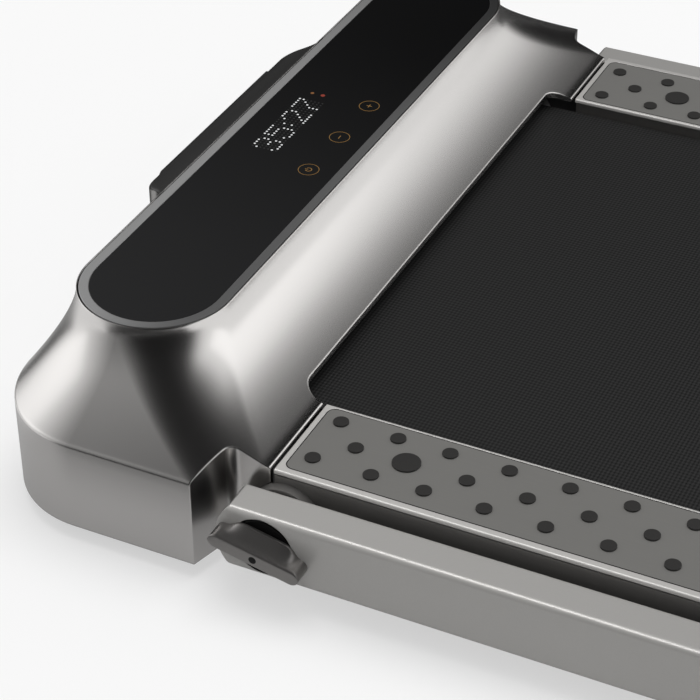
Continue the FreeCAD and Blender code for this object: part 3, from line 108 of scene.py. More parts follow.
class Nodes:
    """A node tree that is filled one node at a time, with the node's settings set before its sockets."""

    def __init__(self, owner):
        owner.use_nodes = True
        self.tree = owner.node_tree
        self.tree.nodes.clear()

    def add(self, kind, settings=None, sockets=None):
        node = self.tree.nodes.new(kind)
        for name, setting in (settings or {}).items():
            setattr(node, name, setting)
        for name, given in (sockets or {}).items():
            socket = next(s for s in node.inputs if name in (s.identifier, s.name))
            if isinstance(given, Link):
                self.tree.links.new(given.socket, socket)
            else:
                socket.default_value = given
        return {s.identifier: Link(self, s) for s in node.outputs}

    def blend(self, share, first, second):
        """A colour between two, by a share from 0 to 1."""
        first, second = ((*c, 1) if isinstance(c, tuple) else c for c in (first, second))
        return self.add("ShaderNodeMix", {"data_type": "RGBA"},
                        {"Factor_Float": share, "A_Color": first, "B_Color": second})["Result_Color"]

    def mix(self, share, first, second):
        """A shader between two, by a share from 0 to 1."""
        return self.add("ShaderNodeMixShader", {},
                        {"Fac": share, "Shader": first, "Shader_001": second})["Shader"]

    def split(self, vector):
        """The parts X, Y and Z of a vector."""
        return self.add("ShaderNodeSeparateXYZ", {}, {"Vector": vector})

    def step(self, given, low, high):
        """A soft step from 0 at one value to 1 at another."""
        return self.add("ShaderNodeMapRange", {"interpolation_type": "SMOOTHSTEP"},
                        {"Value": given, "From Min": low, "From Max": high})["Result"]

    def seen(self):
        """One for a ray from the camera, a mirror or a clear piece, and nought for a lighting ray."""
        path = self.add("ShaderNodeLightPath")
        return path["Is Camera Ray"].larger(path["Is Glossy Ray"]).larger(path["Is Transmission Ray"])


scene = bpy.context.scene
scene.view_settings.view_transform = "Standard"
forward = np.array([-math.sin(CAMERA_TURN) * math.cos(CAMERA_DROP),
                    math.cos(CAMERA_TURN) * math.cos(CAMERA_DROP), -math.sin(CAMERA_DROP)])
right = np.cross(forward, (0, 0, 1))
right /= np.linalg.norm(right)
down = np.cross(forward, right)
tilted_right = math.cos(CAMERA_ROLL) * right + math.sin(CAMERA_ROLL) * down
tilted_down = math.cos(CAMERA_ROLL) * down - math.sin(CAMERA_ROLL) * right
camera = bpy.data.objects.new("camera", bpy.data.cameras.new("camera"))
camera.data.lens = CAMERA_LENS
camera.data.clip_start = 0.05
pose = np.eye(4)
pose[:3] = np.column_stack([tilted_right, -tilted_down, -forward, CAMERA_PLACE])
camera.matrix_world = Matrix(pose.tolist())
scene.collection.objects.link(camera)
scene.camera = camera

world = bpy.data.worlds.new("surround")
scene.world = world
nodes = Nodes(world)
white = nodes.add("ShaderNodeBackground", {}, {"Color": (1, 1, 1, 1), "Strength": 1.0})["Background"]
fill = nodes.add("ShaderNodeBackground", {}, {"Color": (1, 1, 1, 1), "Strength": SURROUND_LIGHT})
nodes.add("ShaderNodeOutputWorld", {}, {"Surface": nodes.mix(nodes.seen(), fill["Background"], white)})


def lamp(name, place, aim, size, power):
    """A soft rectangular lamp that faces a point."""
    light = bpy.data.lights.new(name, "AREA")
    light.shape = "RECTANGLE"
    light.size, light.size_y = size
    light.energy = power
    holder = bpy.data.objects.new(name, light)
    back = np.array(place) - np.array(aim)
    back = back / np.linalg.norm(back)
    side = np.cross((0, 0, 1), back)
    side = side / np.linalg.norm(side)
    turn = np.eye(4)
    turn[:3] = np.column_stack([side, np.cross(back, side), back, place])
    holder.matrix_world = Matrix(turn.tolist())
    scene.collection.objects.link(holder)
    return holder


lamp("front_softbox", (-0.34, 2.97, 1.05), SOFTBOX_AIM, SOFTBOX_SIZE, SOFTBOX_POWER)
lamp("rear_softbox", (1.15, -1.5, 1.15), SOFTBOX_AIM, SOFTBOX_SIZE, SOFTBOX_POWER)
overhead = lamp("overhead", (0.1, 0.2, 2.6), (0, 0.3, 0), (1.8, 2.4), 40)
overhead.visible_glossy = False


def paint(name):
    """A new material, its empty tree, and the place on the piece that its patterns read."""
    material = bpy.data.materials.new(name)
    nodes = Nodes(material)
    return material, nodes, nodes.add("ShaderNodeTexCoord")["Object"]


def studio_card(name, points, faces, material):
    """A sheet of the studio, which isn't part of the object."""
    mesh = bpy.data.meshes.new(name)
    mesh.from_pydata(points, [], faces)
    mesh.materials.append(material)
    card = bpy.data.objects.new(name, mesh)
    scene.collection.objects.link(card)
    return card


def show_in_reflections_alone(card):
    """Hide a sheet from every ray but a mirrored one."""
    card.visible_camera = card.visible_diffuse = False
    card.visible_shadow = card.visible_transmission = False


floor_paint, nodes, place = paint("floor_paint")
cloud = nodes.add("ShaderNodeTexNoise", {}, {"Vector": place, "Scale": 2.0})["Fac"]
tone = nodes.blend(cloud, (0.93, 0.93, 0.93), (0.96, 0.96, 0.96))
matt = nodes.add("ShaderNodeBsdfDiffuse", {}, {"Color": tone})["BSDF"]
plain = nodes.add("ShaderNodeEmission", {}, {"Color": (1, 1, 1, 1), "Strength": 1.0})["Emission"]
part = nodes.split(place)
away = nodes.step((part["X"] * part["X"] + part["Y"] * part["Y"]) ** 0.5, 0.7, 2.2)
lifted = nodes.mix(nodes.seen() * (away * 0.45 + 0.55), matt, plain)
nodes.add("ShaderNodeOutputMaterial", {}, {"Surface": lifted})
floor_corners = np.array([(-1, -1, 0), (1, -1, 0), (1, 1, 0), (-1, 1, 0)]) * FLOOR_HALF
studio_card("floor", floor_corners.tolist(), [(0, 1, 2, 3)], floor_paint)


def flag(name, points, columns, opening, solid):
    """A black studio flag on a grid of points, seen in reflections alone. Its opening, from 0 to 1, has
    feathered edges: it lets what lies behind through, or on a solid flag it is a white field."""
    cloth, nodes, place = paint(name)
    if solid:
        tone = nodes.blend(opening(nodes, place), (0.01, 0.01, 0.01), (1, 1, 1))
        face = nodes.add("ShaderNodeEmission", {}, {"Color": tone, "Strength": 1.0})["Emission"]
        cloth.cycles.emission_sampling = "NONE"
    else:
        black = nodes.add("ShaderNodeBsdfDiffuse", {}, {"Color": (0.01, 0.01, 0.01, 1)})["BSDF"]
        clear = nodes.add("ShaderNodeBsdfTransparent")["BSDF"]
        face = nodes.mix(opening(nodes, place), black, clear)
    nodes.add("ShaderNodeOutputMaterial", {}, {"Surface": face})
    rows = len(points) // columns
    corner = (np.arange(rows - 1)[:, None] * columns + np.arange(columns - 1)).reshape(-1, 1)
    faces = corner + (0, 1, columns + 1, columns)
    show_in_reflections_alone(studio_card(name, points.tolist(), faces.tolist(), cloth))


def two_windows(nodes, place):
    """The two gaps in the ring of flags, one ahead of the pad and one behind it at the right, by the
    direction from the hood. The upper corner of the second, on the pad's right, is covered. Angles are
    in degrees."""
    way = nodes.add("ShaderNodeVectorMath", {"operation": "SUBTRACT"},
                    {"Vector": place, "Vector_001": WINDOWS_FROM})["Vector"]
    way = nodes.add("ShaderNodeVectorMath", {"operation": "NORMALIZE"}, {"Vector": way})["Vector"]
    part = nodes.split(way)
    level = (part["X"] * part["X"] + part["Y"] * part["Y"]) ** 0.5

    def toward(middle):
        middle = math.radians(middle)
        return (part["X"] * math.cos(middle) + part["Y"] * math.sin(middle)) / level

    def below(low, high):
        return nodes.step(part["Z"], math.sin(math.radians(high)), math.sin(math.radians(low)))

    ahead = toward(99).larger(0.0)
    behind = nodes.step(toward(298), math.cos(math.radians(52)), math.cos(math.radians(26)))
    corner = nodes.step(toward(48), -0.2, 0.2) * (1 - below(30, 50))
    return ahead ** 2.8 * below(36, 80) + behind * below(48, 88) * (1 - corner)


climb, around = np.meshgrid(np.radians(np.linspace(-2, 90, 24)),
                            np.radians(np.linspace(0, 360, TENT_COLUMNS)), indexing="ij")
tent = np.stack([np.cos(climb) * np.cos(around), np.cos(climb) * np.sin(around), np.sin(climb)], axis=-1)
flag("flag_ring", tent.reshape(-1, 3) * TENT_RADIUS + TENT_MIDDLE, TENT_COLUMNS, two_windows, True)


def floor_cloth(nodes, place):
    """Half open close to the hood and beside the arms, open ahead of the pad on its left, and nearly
    shut elsewhere."""
    hood_half, hood_front = 0.3275, 0.67
    part = nodes.split(place)
    along, across = part["Y"], abs(part["X"])
    gap = (across - hood_half).larger(along - hood_front)
    near = nodes.step(gap, 0.13, 0.04)
    ahead = nodes.step((along - 0.6) - (across - 0.25) * 0.8, -0.12, 0.12)
    ahead = ahead * nodes.step(part["X"], 0.0, -0.24)
    beside = nodes.step(along, 0.55, 0.5) * nodes.step(gap, 0.2, 0.08)
    shown = near * 0.48 + (1 - near) * (ahead * 0.9 + 0.04)
    return beside * 0.5 + (1 - beside) * shown


across, along = np.meshgrid(np.linspace(-4, 4, 9), np.linspace(-4, 4, 9), indexing="ij")
cloth_points = np.stack([across, along, 0 * along + CLOTH_HEIGHT], axis=-1).reshape(-1, 3)
flag("floor_flag", cloth_points, 9, floor_cloth, False)

reflector_paint = bpy.data.materials.new("reflector")
nodes = Nodes(reflector_paint)
under = nodes.add("ShaderNodeNewGeometry")["Backfacing"]
pale = nodes.add("ShaderNodeEmission", {}, {"Color": (1, 1, 1, 1), "Strength": 1.0})["Emission"]
clear = nodes.add("ShaderNodeBsdfTransparent")["BSDF"]
nodes.add("ShaderNodeOutputMaterial", {}, {"Surface": nodes.mix(under, pale, clear)})
wedge = [(-0.29, 0.486), (-1.9, -4), (4.3, -4), (4.3, -1.8), (0.29, 0.486)]
show_in_reflections_alone(studio_card("reflector", [(x, y, REFLECTOR_HEIGHT) for x, y in wedge],
                                      [(0, 1, 2, 3, 4)], reflector_paint))

# Hood: one moulding in plastic with a satin nickel coat. An upright wall ends in a soft crease, and
# from there a flared skirt sweeps up to the console; a boss stands on its front.
HOOD_HALF, HOOD_FRONT, HOOD_REAR = 327.5, 670.0, 474.0
HOOD_LOW, HOOD_CREASE, HOOD_TOP = 12.5, 78.0, 136.0
SKIRT_SIDE_RUN, SKIRT_FRONT_RUN, SKIRT_REAR_RUN = 58.0, 24.0, 63.4
SIDE_FLARE, REAR_FLARE = 1.75, 2.05
FRONT_ROUND, REAR_ROUND, LIP_ROUND = 70.0, 36.0, 52.5
HOOD_LEDGE, HOOD_WALL = 3.0, 3.0
CONSOLE_X, CONSOLE_Y = 216.7, 593.2
POCKET_RADIUS, POCKET_FLOOR = 52.0, 131.0
CUT_REAR, CUT_LOW, CUT_HIGH = 470.0, 5.0, 140.0
NOTCH_SIDE, NOTCH_DEPTH, NOTCH_SLOPE, NOTCH_ROUND = 292.0, 511.5, 9.9 / 34.5, 9.0
RAIL_MOUTH_HALF, RAIL_MOUTH_FRONT, RAIL_MOUTH_TOP = 289.0, 480.0, 75.0
BELT_MOUTH_HALF, BELT_MOUTH_FRONT, BELT_MOUTH_ROUND, BELT_MOUTH_LOW = 218.0, 490.5, 15.0, 72.0
SOCKET_LEFT, SOCKET_RIGHT, SOCKET_LOW, SOCKET_TOP = 80.0, 180.0, 28.25, 62.25


def level_lines(half, front, rear, front_round, rear_round):
    """Rounded rectangles, one for each level: four quarter circles joined by straight sides, walked
    round from the rear right corner. All five sizes are arrays with one number for each level."""
    turn = np.linspace(0, np.pi / 2, 25)
    share = np.linspace(0, 1, 61)[1:-1, None]
    arcs = []
    for side, y, radius, start in ((1, rear + rear_round, rear_round, -np.pi / 2),
                                   (1, front - front_round, front_round, 0),
                                   (-1, front - front_round, front_round, np.pi / 2),
                                   (-1, rear + rear_round, rear_round, np.pi)):
        x = (side * (half - radius))[:, None] + radius[:, None] * np.cos(start + turn)
        arcs.append(np.stack([x, y[:, None] + radius[:, None] * np.sin(start + turn)], axis=-1))
    runs = []
    for arc, following in zip(arcs, arcs[1:] + arcs[:1]):
        runs += [arc, arc[:, -1:] + (following[:, :1] - arc[:, -1:]) * share]
    return np.concatenate(runs, axis=1)


def at_heights(lines, heights):
    """Plan lines, each lifted to one height."""
    lift = np.broadcast_to(np.array(heights)[:, None, None], lines.shape[:2] + (1,))
    return np.concatenate([lines, lift], axis=-1)


def stacked(name, levels):
    """A closed mesh from rings of points, one ring for each level, with a flat face at both ends."""
    rows, columns = levels.shape[:2]
    ring = np.arange(columns)
    start = np.arange(rows - 1)[:, None] * columns
    after = (ring + 1) % columns
    quads = np.stack([start + ring, start + after, start + columns + after, start + columns + ring],
                     axis=-1)
    mesh = bpy.data.meshes.new(name)
    ends = [ring[::-1].tolist(), (ring + (rows - 1) * columns).tolist()]
    mesh.from_pydata((levels.reshape(-1, 3) * 0.001).tolist(), [], quads.reshape(-1, 4).tolist() + ends)
    piece = bpy.data.objects.new(name, mesh)
    scene.collection.objects.link(piece)
    return piece


def carved(piece, tool, operation="DIFFERENCE"):
    """The piece with a tool taken out of it or joined to it; the tool is used up."""
    modifier = piece.modifiers.new("carve", "BOOLEAN")
    modifier.operation = operation
    modifier.solver = "MANIFOLD"
    modifier.object = tool
    shape = bpy.data.meshes.new_from_object(piece.evaluated_get(bpy.context.evaluated_depsgraph_get()))
    piece.modifiers.clear()
    piece.data = shape
    bpy.data.objects.remove(tool)
    return piece


def smoothed(piece, sharp):
    """Smooth shading, but for edges that turn by more than an angle in degrees."""
    piece.data.shade_smooth()
    piece.data.set_sharp_from_angle(angle=math.radians(sharp))


def rounded(corners):
    """A closed line through corners (x, y, radius). A corner with a radius becomes an arc of 13 points,
    each a weighted sum of the arc's two end rays by the sines of the angles left to them."""
    spots = np.array([corner[:2] for corner in corners], float)
    points = []
    for index, corner in enumerate(corners):
        radius = corner[2]
        back = spots[index - 1] - spots[index]
        ahead = spots[(index + 1) % len(spots)] - spots[index]
        back, ahead = back / np.linalg.norm(back), ahead / np.linalg.norm(ahead)
        if radius == 0:
            points.append(spots[index][None])
            continue
        half = np.arccos(np.clip(back @ ahead, -1, 1)) / 2
        middle = back + ahead
        centre = spots[index] + middle / np.linalg.norm(middle) * radius / np.sin(half)
        first = spots[index] + back * radius / np.tan(half) - centre
        last = spots[index] + ahead * radius / np.tan(half) - centre
        share = np.linspace(0, 1, 13)[:, None]
        angle = np.pi - 2 * half
        weight_first = np.sin((1 - share) * angle) / np.sin(angle)
        weight_last = np.sin(share * angle) / np.sin(angle)
        points.append(centre + first * weight_first + last * weight_last)
    return np.concatenate(points)


def prism(name, line, low, high):
    """An upright block on a closed line."""
    return stacked(name, at_heights(np.stack([line, line]), [low, high]))


def box(name, left, rear, right, front, low, high):
    """An upright block on a rectangle."""
    return prism(name, np.array([(left, rear), (right, rear), (right, front), (left, front)]), low, high)


# From the floor edge up: wall, crease or ledge, skirt, lip and console pocket. The flare is the share
# of the skirt's run that is left. It falls from 1 at the crease to 0 at the lip, as a power of the
# height that is left.
crease_foot, crease_head = HOOD_CREASE - 1.6, HOOD_CREASE + 1.2
skirt_height = HOOD_TOP - HOOD_CREASE
share = np.linspace(0, 1, 14)
bow = np.stack([(1 - share) ** 2, 2 * share * (1 - share), share ** 2])
head_rise = (HOOD_TOP - crease_head) / skirt_height
rise = np.linspace(head_rise, 0, 49)[1:]
side_height = np.concatenate([np.linspace(HOOD_LOW, crease_foot, 9)[:-1],
                              bow.T @ (crease_foot, HOOD_CREASE, crease_head),
                              HOOD_TOP - skirt_height * rise])
flare = np.concatenate([np.ones(8), bow.T @ (1, 1, head_rise ** SIDE_FLARE), rise ** SIDE_FLARE])
lip_turn = np.linspace(0, np.pi / 2, 6)
ledge_end = HOOD_REAR + HOOD_LEDGE
rear_head = ledge_end + SKIRT_REAR_RUN * (1 - head_rise ** REAR_FLARE)
sweep = np.linspace(0, 1, 9)[1:]
sweep_bow = np.stack([(1 - sweep) ** 2, 2 * sweep * (1 - sweep), sweep ** 2])
rear_line = np.concatenate([np.full(8, HOOD_REAR), HOOD_REAR + 2 * (1 - np.cos(lip_turn)),
                            sweep_bow.T @ (HOOD_REAR + 2, ledge_end - 0.5, rear_head),
                            ledge_end + SKIRT_REAR_RUN * (1 - rise ** REAR_FLARE)])
rear_height = np.concatenate([np.linspace(HOOD_LOW, HOOD_CREASE - 2, 9)[:-1],
                              HOOD_CREASE - 2 + 2 * np.sin(lip_turn),
                              sweep_bow.T @ (HOOD_CREASE, HOOD_CREASE, crease_head),
                              HOOD_TOP - skirt_height * rise])
plan = level_lines(HOOD_HALF - SKIRT_SIDE_RUN * (1 - flare), HOOD_FRONT - SKIRT_FRONT_RUN * (1 - flare),
                   rear_line, LIP_ROUND + (FRONT_ROUND - LIP_ROUND) * flare,
                   LIP_ROUND + (REAR_ROUND - LIP_ROUND) * flare)
# One along the rear and nought along the other sides; it changes over the two rear corners.
quarter, straight = np.linspace(0, 1, 25), np.zeros(59)
behind = np.concatenate([1 - quarter, straight, 0 * quarter, straight, 0 * quarter, straight,
                         quarter, straight + 1])
height = side_height[:, None] * (1 - behind) + rear_height[:, None] * behind
outside = np.concatenate([plan, height[..., None]], axis=-1)
one = np.ones(2)
pocket_round = (POCKET_RADIUS - 0.01) * one
pocket = level_lines((CONSOLE_X + POCKET_RADIUS) * one, (CONSOLE_Y + POCKET_RADIUS) * one,
                     (CONSOLE_Y - POCKET_RADIUS) * one, pocket_round, pocket_round)
hood = stacked("hood", np.concatenate([outside, at_heights(pocket, [HOOD_TOP, POCKET_FLOOR])]))

BOSS_REAR, BOSS_FOOT, BOSS_FRONT, BOSS_ROUND = 645.4, 645.9, 667.0, 2.5
BOSS_ROOT_HALF, BOSS_FOOT_HALF, BOSS_FRONT_HALF = 150.0, 119.4, 106.6
BOSS_CORNER, BOSS_FALL = 18.0, 8.0
boss_line = rounded([(-BOSS_ROOT_HALF, BOSS_REAR, 0), (BOSS_ROOT_HALF, BOSS_REAR, 0),
                     (BOSS_ROOT_HALF, BOSS_FOOT, 0), (BOSS_FOOT_HALF, BOSS_FOOT, BOSS_CORNER),
                     (BOSS_FRONT_HALF, BOSS_FRONT, BOSS_CORNER),
                     (-BOSS_FRONT_HALF, BOSS_FRONT, BOSS_CORNER),
                     (-BOSS_FOOT_HALF, BOSS_FOOT, BOSS_CORNER), (-BOSS_ROOT_HALF, BOSS_FOOT, 0)])
edge = np.roll(boss_line, -1, axis=0) - np.roll(boss_line, 1, axis=0)
inward = np.column_stack([-edge[:, 1], edge[:, 0]]) / np.linalg.norm(edge, axis=1)[:, None]
inward[boss_line[:, 1] < BOSS_FOOT + 0.01] = 0
lean = np.linspace(0, np.pi / 2, 7)
boss_rings = boss_line + inward * (BOSS_ROUND * (1 - np.cos(lean)))[:, None, None]
boss_top = HOOD_TOP - 0.1 - BOSS_FALL * (boss_line[:, 1] - BOSS_FOOT) / (BOSS_FRONT - BOSS_FOOT)
boss_height = boss_top - BOSS_ROUND + BOSS_ROUND * np.sin(lean)[:, None]
boss_rings = np.concatenate([boss_rings, np.minimum(boss_height, HOOD_TOP - 0.1)[..., None]], axis=-1)
boss_low = boss_rings[:1].copy()
boss_low[..., 2] = HOOD_CREASE + 1
hood = carved(hood, stacked("boss", np.concatenate([boss_low, boss_rings])), "UNION")

# The hollow follows the outside a wall's thickness in, and leaves a wall round the two arm notches.
inner_flare = flare[:-10]
inner_plan = level_lines(HOOD_HALF - HOOD_WALL - SKIRT_SIDE_RUN * (1 - inner_flare),
                         HOOD_FRONT - HOOD_WALL - SKIRT_FRONT_RUN * (1 - inner_flare),
                         np.maximum(rear_line, HOOD_REAR + 0.01)[:-10] + HOOD_WALL,
                         LIP_ROUND - HOOD_WALL + (FRONT_ROUND - LIP_ROUND) * inner_flare,
                         LIP_ROUND - HOOD_WALL + (REAR_ROUND - LIP_ROUND) * inner_flare)
inner_height = height[:-10] - HOOD_WALL
hollow = stacked("hollow", np.concatenate([inner_plan, inner_height[..., None]], axis=-1))


def notch_line(side, wall):
    """The plan of the space for an arm's front end at a rear corner, grown by a wall."""
    inner, outer = NOTCH_SIDE - wall, HOOD_HALF + 3
    deep = NOTCH_DEPTH + wall + NOTCH_SLOPE * 3
    shallow = NOTCH_DEPTH + wall - NOTCH_SLOPE * (HOOD_HALF - inner)
    line = rounded([(inner, CUT_REAR, 0), (outer, CUT_REAR, 0), (outer, deep, 0),
                    (inner, shallow, NOTCH_ROUND + wall)])
    return line if side > 0 else (line * (-1, 1))[::-1]


for side in (-1, 1):
    hollow = carved(hollow, prism("keep", notch_line(side, HOOD_WALL), CUT_LOW, CUT_HIGH))
hood = carved(hood, hollow)
for side in (-1, 1):
    hood = carved(hood, prism("notch", notch_line(side, 0), CUT_LOW, CUT_HIGH))
hood = carved(hood, box("rail_mouth", -RAIL_MOUTH_HALF, CUT_REAR, RAIL_MOUTH_HALF, RAIL_MOUTH_FRONT,
                        CUT_LOW, RAIL_MOUTH_TOP))
belt_mouth = rounded([(-BELT_MOUTH_HALF, CUT_REAR, 0), (BELT_MOUTH_HALF, CUT_REAR, 0),
                      (BELT_MOUTH_HALF, BELT_MOUTH_FRONT, BELT_MOUTH_ROUND),
                      (-BELT_MOUTH_HALF, BELT_MOUTH_FRONT, BELT_MOUTH_ROUND)])
hood = carved(hood, prism("belt_mouth", belt_mouth, BELT_MOUTH_LOW, CUT_HIGH))
hood = carved(hood, box("socket_window", SOCKET_LEFT, HOOD_FRONT - 10, SOCKET_RIGHT, HOOD_FRONT + 10,
                        SOCKET_LOW, SOCKET_TOP))
smoothed(hood, 28)


def satin_metal(name, colour, rough, streak=(1, 1, 1), grain=900.0, edge=0.001, metallic=1.0, dark=None,
                relief=0.02):
    """A metal finish: fine grain in colour and relief, drawn out along a streak, a broad cloud in colour
    and gloss, and softened edges. A dark mask, from 0 to 1, paints black: painted shade, or a dark joint."""
    material, nodes, place = paint(name)
    drawn = nodes.add("ShaderNodeMapping", {}, {"Vector": place, "Scale": streak})["Vector"]
    fine = nodes.add("ShaderNodeTexNoise", {}, {"Vector": drawn, "Scale": grain, "Detail": 3.0})["Fac"]
    broad = nodes.add("ShaderNodeTexNoise", {}, {"Vector": place, "Scale": 7.0, "Detail": 2.0})["Fac"]
    grain_share = 30.0 * relief
    tone = nodes.blend(fine * grain_share + broad * (1.0 - grain_share),
                       tuple(c * 0.94 for c in colour), tuple(c * 1.06 for c in colour))
    soft = nodes.add("ShaderNodeBevel", {"samples": 8}, {"Radius": edge})["Normal"]
    skin = nodes.add("ShaderNodeBump", {}, {"Strength": relief, "Distance": 0.00003, "Height": fine,
                                            "Normal": soft})["Normal"]
    if dark:
        tone = nodes.blend(dark(nodes, place), tone, (0.012, 0.012, 0.012))
    metal = nodes.add("ShaderNodeBsdfPrincipled", {}, {"Base Color": tone, "Metallic": metallic,
                                                       "Roughness": (broad - 0.5) * 0.03 + rough,
                                                       "Normal": skin})["BSDF"]
    nodes.add("ShaderNodeOutputMaterial", {}, {"Surface": metal})
    return material


def dressed(piece, material):
    """Give a piece or a CAD node one material."""
    piece.data.materials.clear()
    piece.data.materials.append(material)
    return piece


def boss_top_painted_shade(nodes, place):
    """Near one on the upper face of the boss, which is painted dark as shade for the dark surroundings
    it reflects, and nought on the rest of the hood: above a plane that falls with the face, and ahead of
    the boss's foot."""
    foot, fall, plane = 0.6466, 0.379, 0.1345
    part = nodes.split(place)
    above = part["Z"] + (part["Y"] - BOSS_FOOT * 0.001) * fall > plane
    return above * (part["Y"] > foot) * 0.9


dressed(hood, satin_metal("satin_hood", (0.66, 0.645, 0.632), 0.25, edge=0.0016, dark=boss_top_painted_shade,
                          relief=0.001))
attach(hood, "base")
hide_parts("hood_shell")

# Console: a flat ring of matt grey metal let into the hood, with a black-backed glass inside it.
# Behind the glass shine a dot-matrix clock, two small lamps and three amber touch rings.
GLASS_RADIUS, GLASS_LOW, GLASS_TOP = 44.7, 133.0, 135.9
node = frame["nodes"]


def rim_rear(nodes, place):
    """Nought at the rim's front, and up to nine tenths at its rear and far end, which are in shade."""
    part = nodes.split(place)
    return nodes.step(part["Y"], 0.625, 0.55) * 0.62 + nodes.step(part["X"], 0.0, 0.27) * 0.3


dressed(node["console_rim"], satin_metal("rim_metal", (0.4, 0.4, 0.4), 0.36, (0.02, 1, 1), 1200.0,
                                         metallic=0.4, dark=rim_rear))
reach = GLASS_RADIUS - np.array([0.0, 0.0, 0.1, 0.35])
sheet = level_lines(CONSOLE_X + reach, CONSOLE_Y + reach, CONSOLE_Y - reach, reach - 0.01, reach - 0.01)
glass = stacked("glass", at_heights(sheet, [GLASS_LOW, GLASS_TOP - 0.35, GLASS_TOP - 0.1, GLASS_TOP]))
smoothed(glass, 20)

glass_paint, nodes, place = paint("dark_glass")
haze = nodes.add("ShaderNodeTexNoise", {}, {"Vector": place, "Scale": 18.0})["Fac"]
# Painted light: the glass is lighter toward its left end and darker toward its right, standing in for the
# light it reflects.
painted_light_share = nodes.step(nodes.split(place)["X"] + haze * 0.02, -0.27, 0.2)
tone = nodes.blend(painted_light_share, (0.017, 0.017, 0.0175), (0.004, 0.004, 0.0042))
pane = nodes.add("ShaderNodeBsdfPrincipled", {}, {"Base Color": tone, "Roughness": haze * 0.04 + 0.06,
                                                  "Specular IOR Level": 0.3})["BSDF"]
nodes.add("ShaderNodeOutputMaterial", {}, {"Surface": pane})
dressed(glass, glass_paint)
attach(glass, "base")
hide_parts("console_glass")


def glowing(name, colour, strength):
    """Light from behind the glass: a steady colour with a slight cloud in it."""
    material, nodes, place = paint(name)
    cloud = nodes.add("ShaderNodeTexNoise", {}, {"Vector": place, "Scale": 400.0})["Fac"]
    tone = nodes.blend(cloud, tuple(c * 0.8 for c in colour), tuple(min(1.0, c * 1.15) for c in colour))
    lit = nodes.add("ShaderNodeBsdfPrincipled", {}, {"Base Color": (0.02, 0.02, 0.02, 1),
                                                     "Roughness": 0.2, "Emission Color": tone,
                                                     "Emission Strength": strength})["BSDF"]
    nodes.add("ShaderNodeOutputMaterial", {}, {"Surface": lit})
    return material


def printed(name, outlines, material):
    """Thin flat marks just proud of the glass, each a closed line of points in the glass's plane."""
    points, faces = [], []
    for line in outlines:
        faces.append(list(range(len(points), len(points) + len(line))))
        points += np.column_stack([line, np.full(len(line), GLASS_TOP + 0.05)]).tolist()
    mesh = bpy.data.meshes.new(name)
    mesh.from_pydata((np.array(points) * 0.001).tolist(), [], faces)
    mark = dressed(bpy.data.objects.new(name, mesh), material)
    scene.collection.objects.link(mark)
    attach(mark, "base")


CLOCK_LEFT, CLOCK_TOP, CLOCK_COLUMN, CLOCK_ROW = -37.4, 618.6, 3.08, 3.05
DIGITS = {"3": ("01110", "10001", "00001", "00110", "00001", "10001", "01110"),
          "5": ("11111", "10000", "11110", "00001", "00001", "10001", "01110"),
          ":": ("0", "0", "1", "0", "1", "0", "0"),
          "2": ("01110", "10001", "00001", "00010", "00100", "01000", "11111"),
          "7": ("11111", "00001", "00010", "00100", "01000", "01000", "01000")}
rows = ["0".join(DIGITS[sign][row] for sign in "35:27") for row in range(7)]
lamps = np.array([[int(lamp_on) for lamp_on in row] for row in rows])
row_index, column_index = np.indices(lamps.shape)
lamp_spots = np.stack([CLOCK_LEFT + CLOCK_COLUMN * column_index,
                       CLOCK_TOP - CLOCK_ROW * row_index], axis=-1)
turn = np.linspace(0, 2 * np.pi, 12, endpoint=False)
disc = np.column_stack([np.cos(turn), np.sin(turn)])
printed("clock_lit", lamp_spots[lamps == 1][:, None] + 0.82 * disc,
        glowing("clock_white", (0.9, 0.93, 0.95), 0.9))
printed("clock_unlit", lamp_spots[lamps == 0][:, None] + 0.7 * disc,
        glowing("clock_dark", (0.03, 0.03, 0.03), 0.5))


def ring_line(x, y, radius, width, start=0.0, sweep=2 * np.pi):
    """A band round a circle: out along one edge and back along the other."""
    angle = start + np.linspace(0, sweep, 61)
    way = np.column_stack([np.cos(angle), np.sin(angle)])
    return np.concatenate([(radius + width / 2) * way, (radius - width / 2) * way[::-1]]) + (x, y)


def bar_line(x, y, width, length):
    """A rectangle about its middle."""
    return np.array([(-1, -1), (1, -1), (1, 1), (-1, 1)]) * (width / 2, length / 2) + (x, y)


RING_X, RING_Y = (-50.0, -1.0, 48.1), 568.0
marks = [ring_line(x, RING_Y, 7.3, 0.42) for x in RING_X]
marks += [ring_line(RING_X[0], RING_Y, 2.2, 0.55, math.radians(125), math.radians(290)),
          bar_line(RING_X[0], RING_Y + 1.6, 0.55, 2.4)]
marks += [bar_line(RING_X[1], RING_Y, 4.2, 0.6), bar_line(RING_X[2], RING_Y, 4.2, 0.6),
          bar_line(RING_X[2], RING_Y + 1.2, 0.6, 1.8), bar_line(RING_X[2], RING_Y - 1.2, 0.6, 1.8)]
printed("touch_rings", marks, glowing("amber_light", (0.62, 0.33, 0.08), 0.42))
LAMP_X, ORANGE_Y, RED_Y = 47.6, 614.0, 605.4
printed("lamp_orange", [(LAMP_X, ORANGE_Y) + 1.4 * disc], glowing("lamp_orange", (0.5, 0.2, 0.05), 0.4))
printed("lamp_red", [(LAMP_X, RED_Y) + 1.7 * disc], glowing("lamp_red", (0.5, 0.06, 0.03), 0.5))

# Board, stand pad and socket panel: the board is screwed under the glass, the pad is a moulded rubber
# strip glued to the boss, and the plastic panel with inlet and rocker snaps into the hood's front.


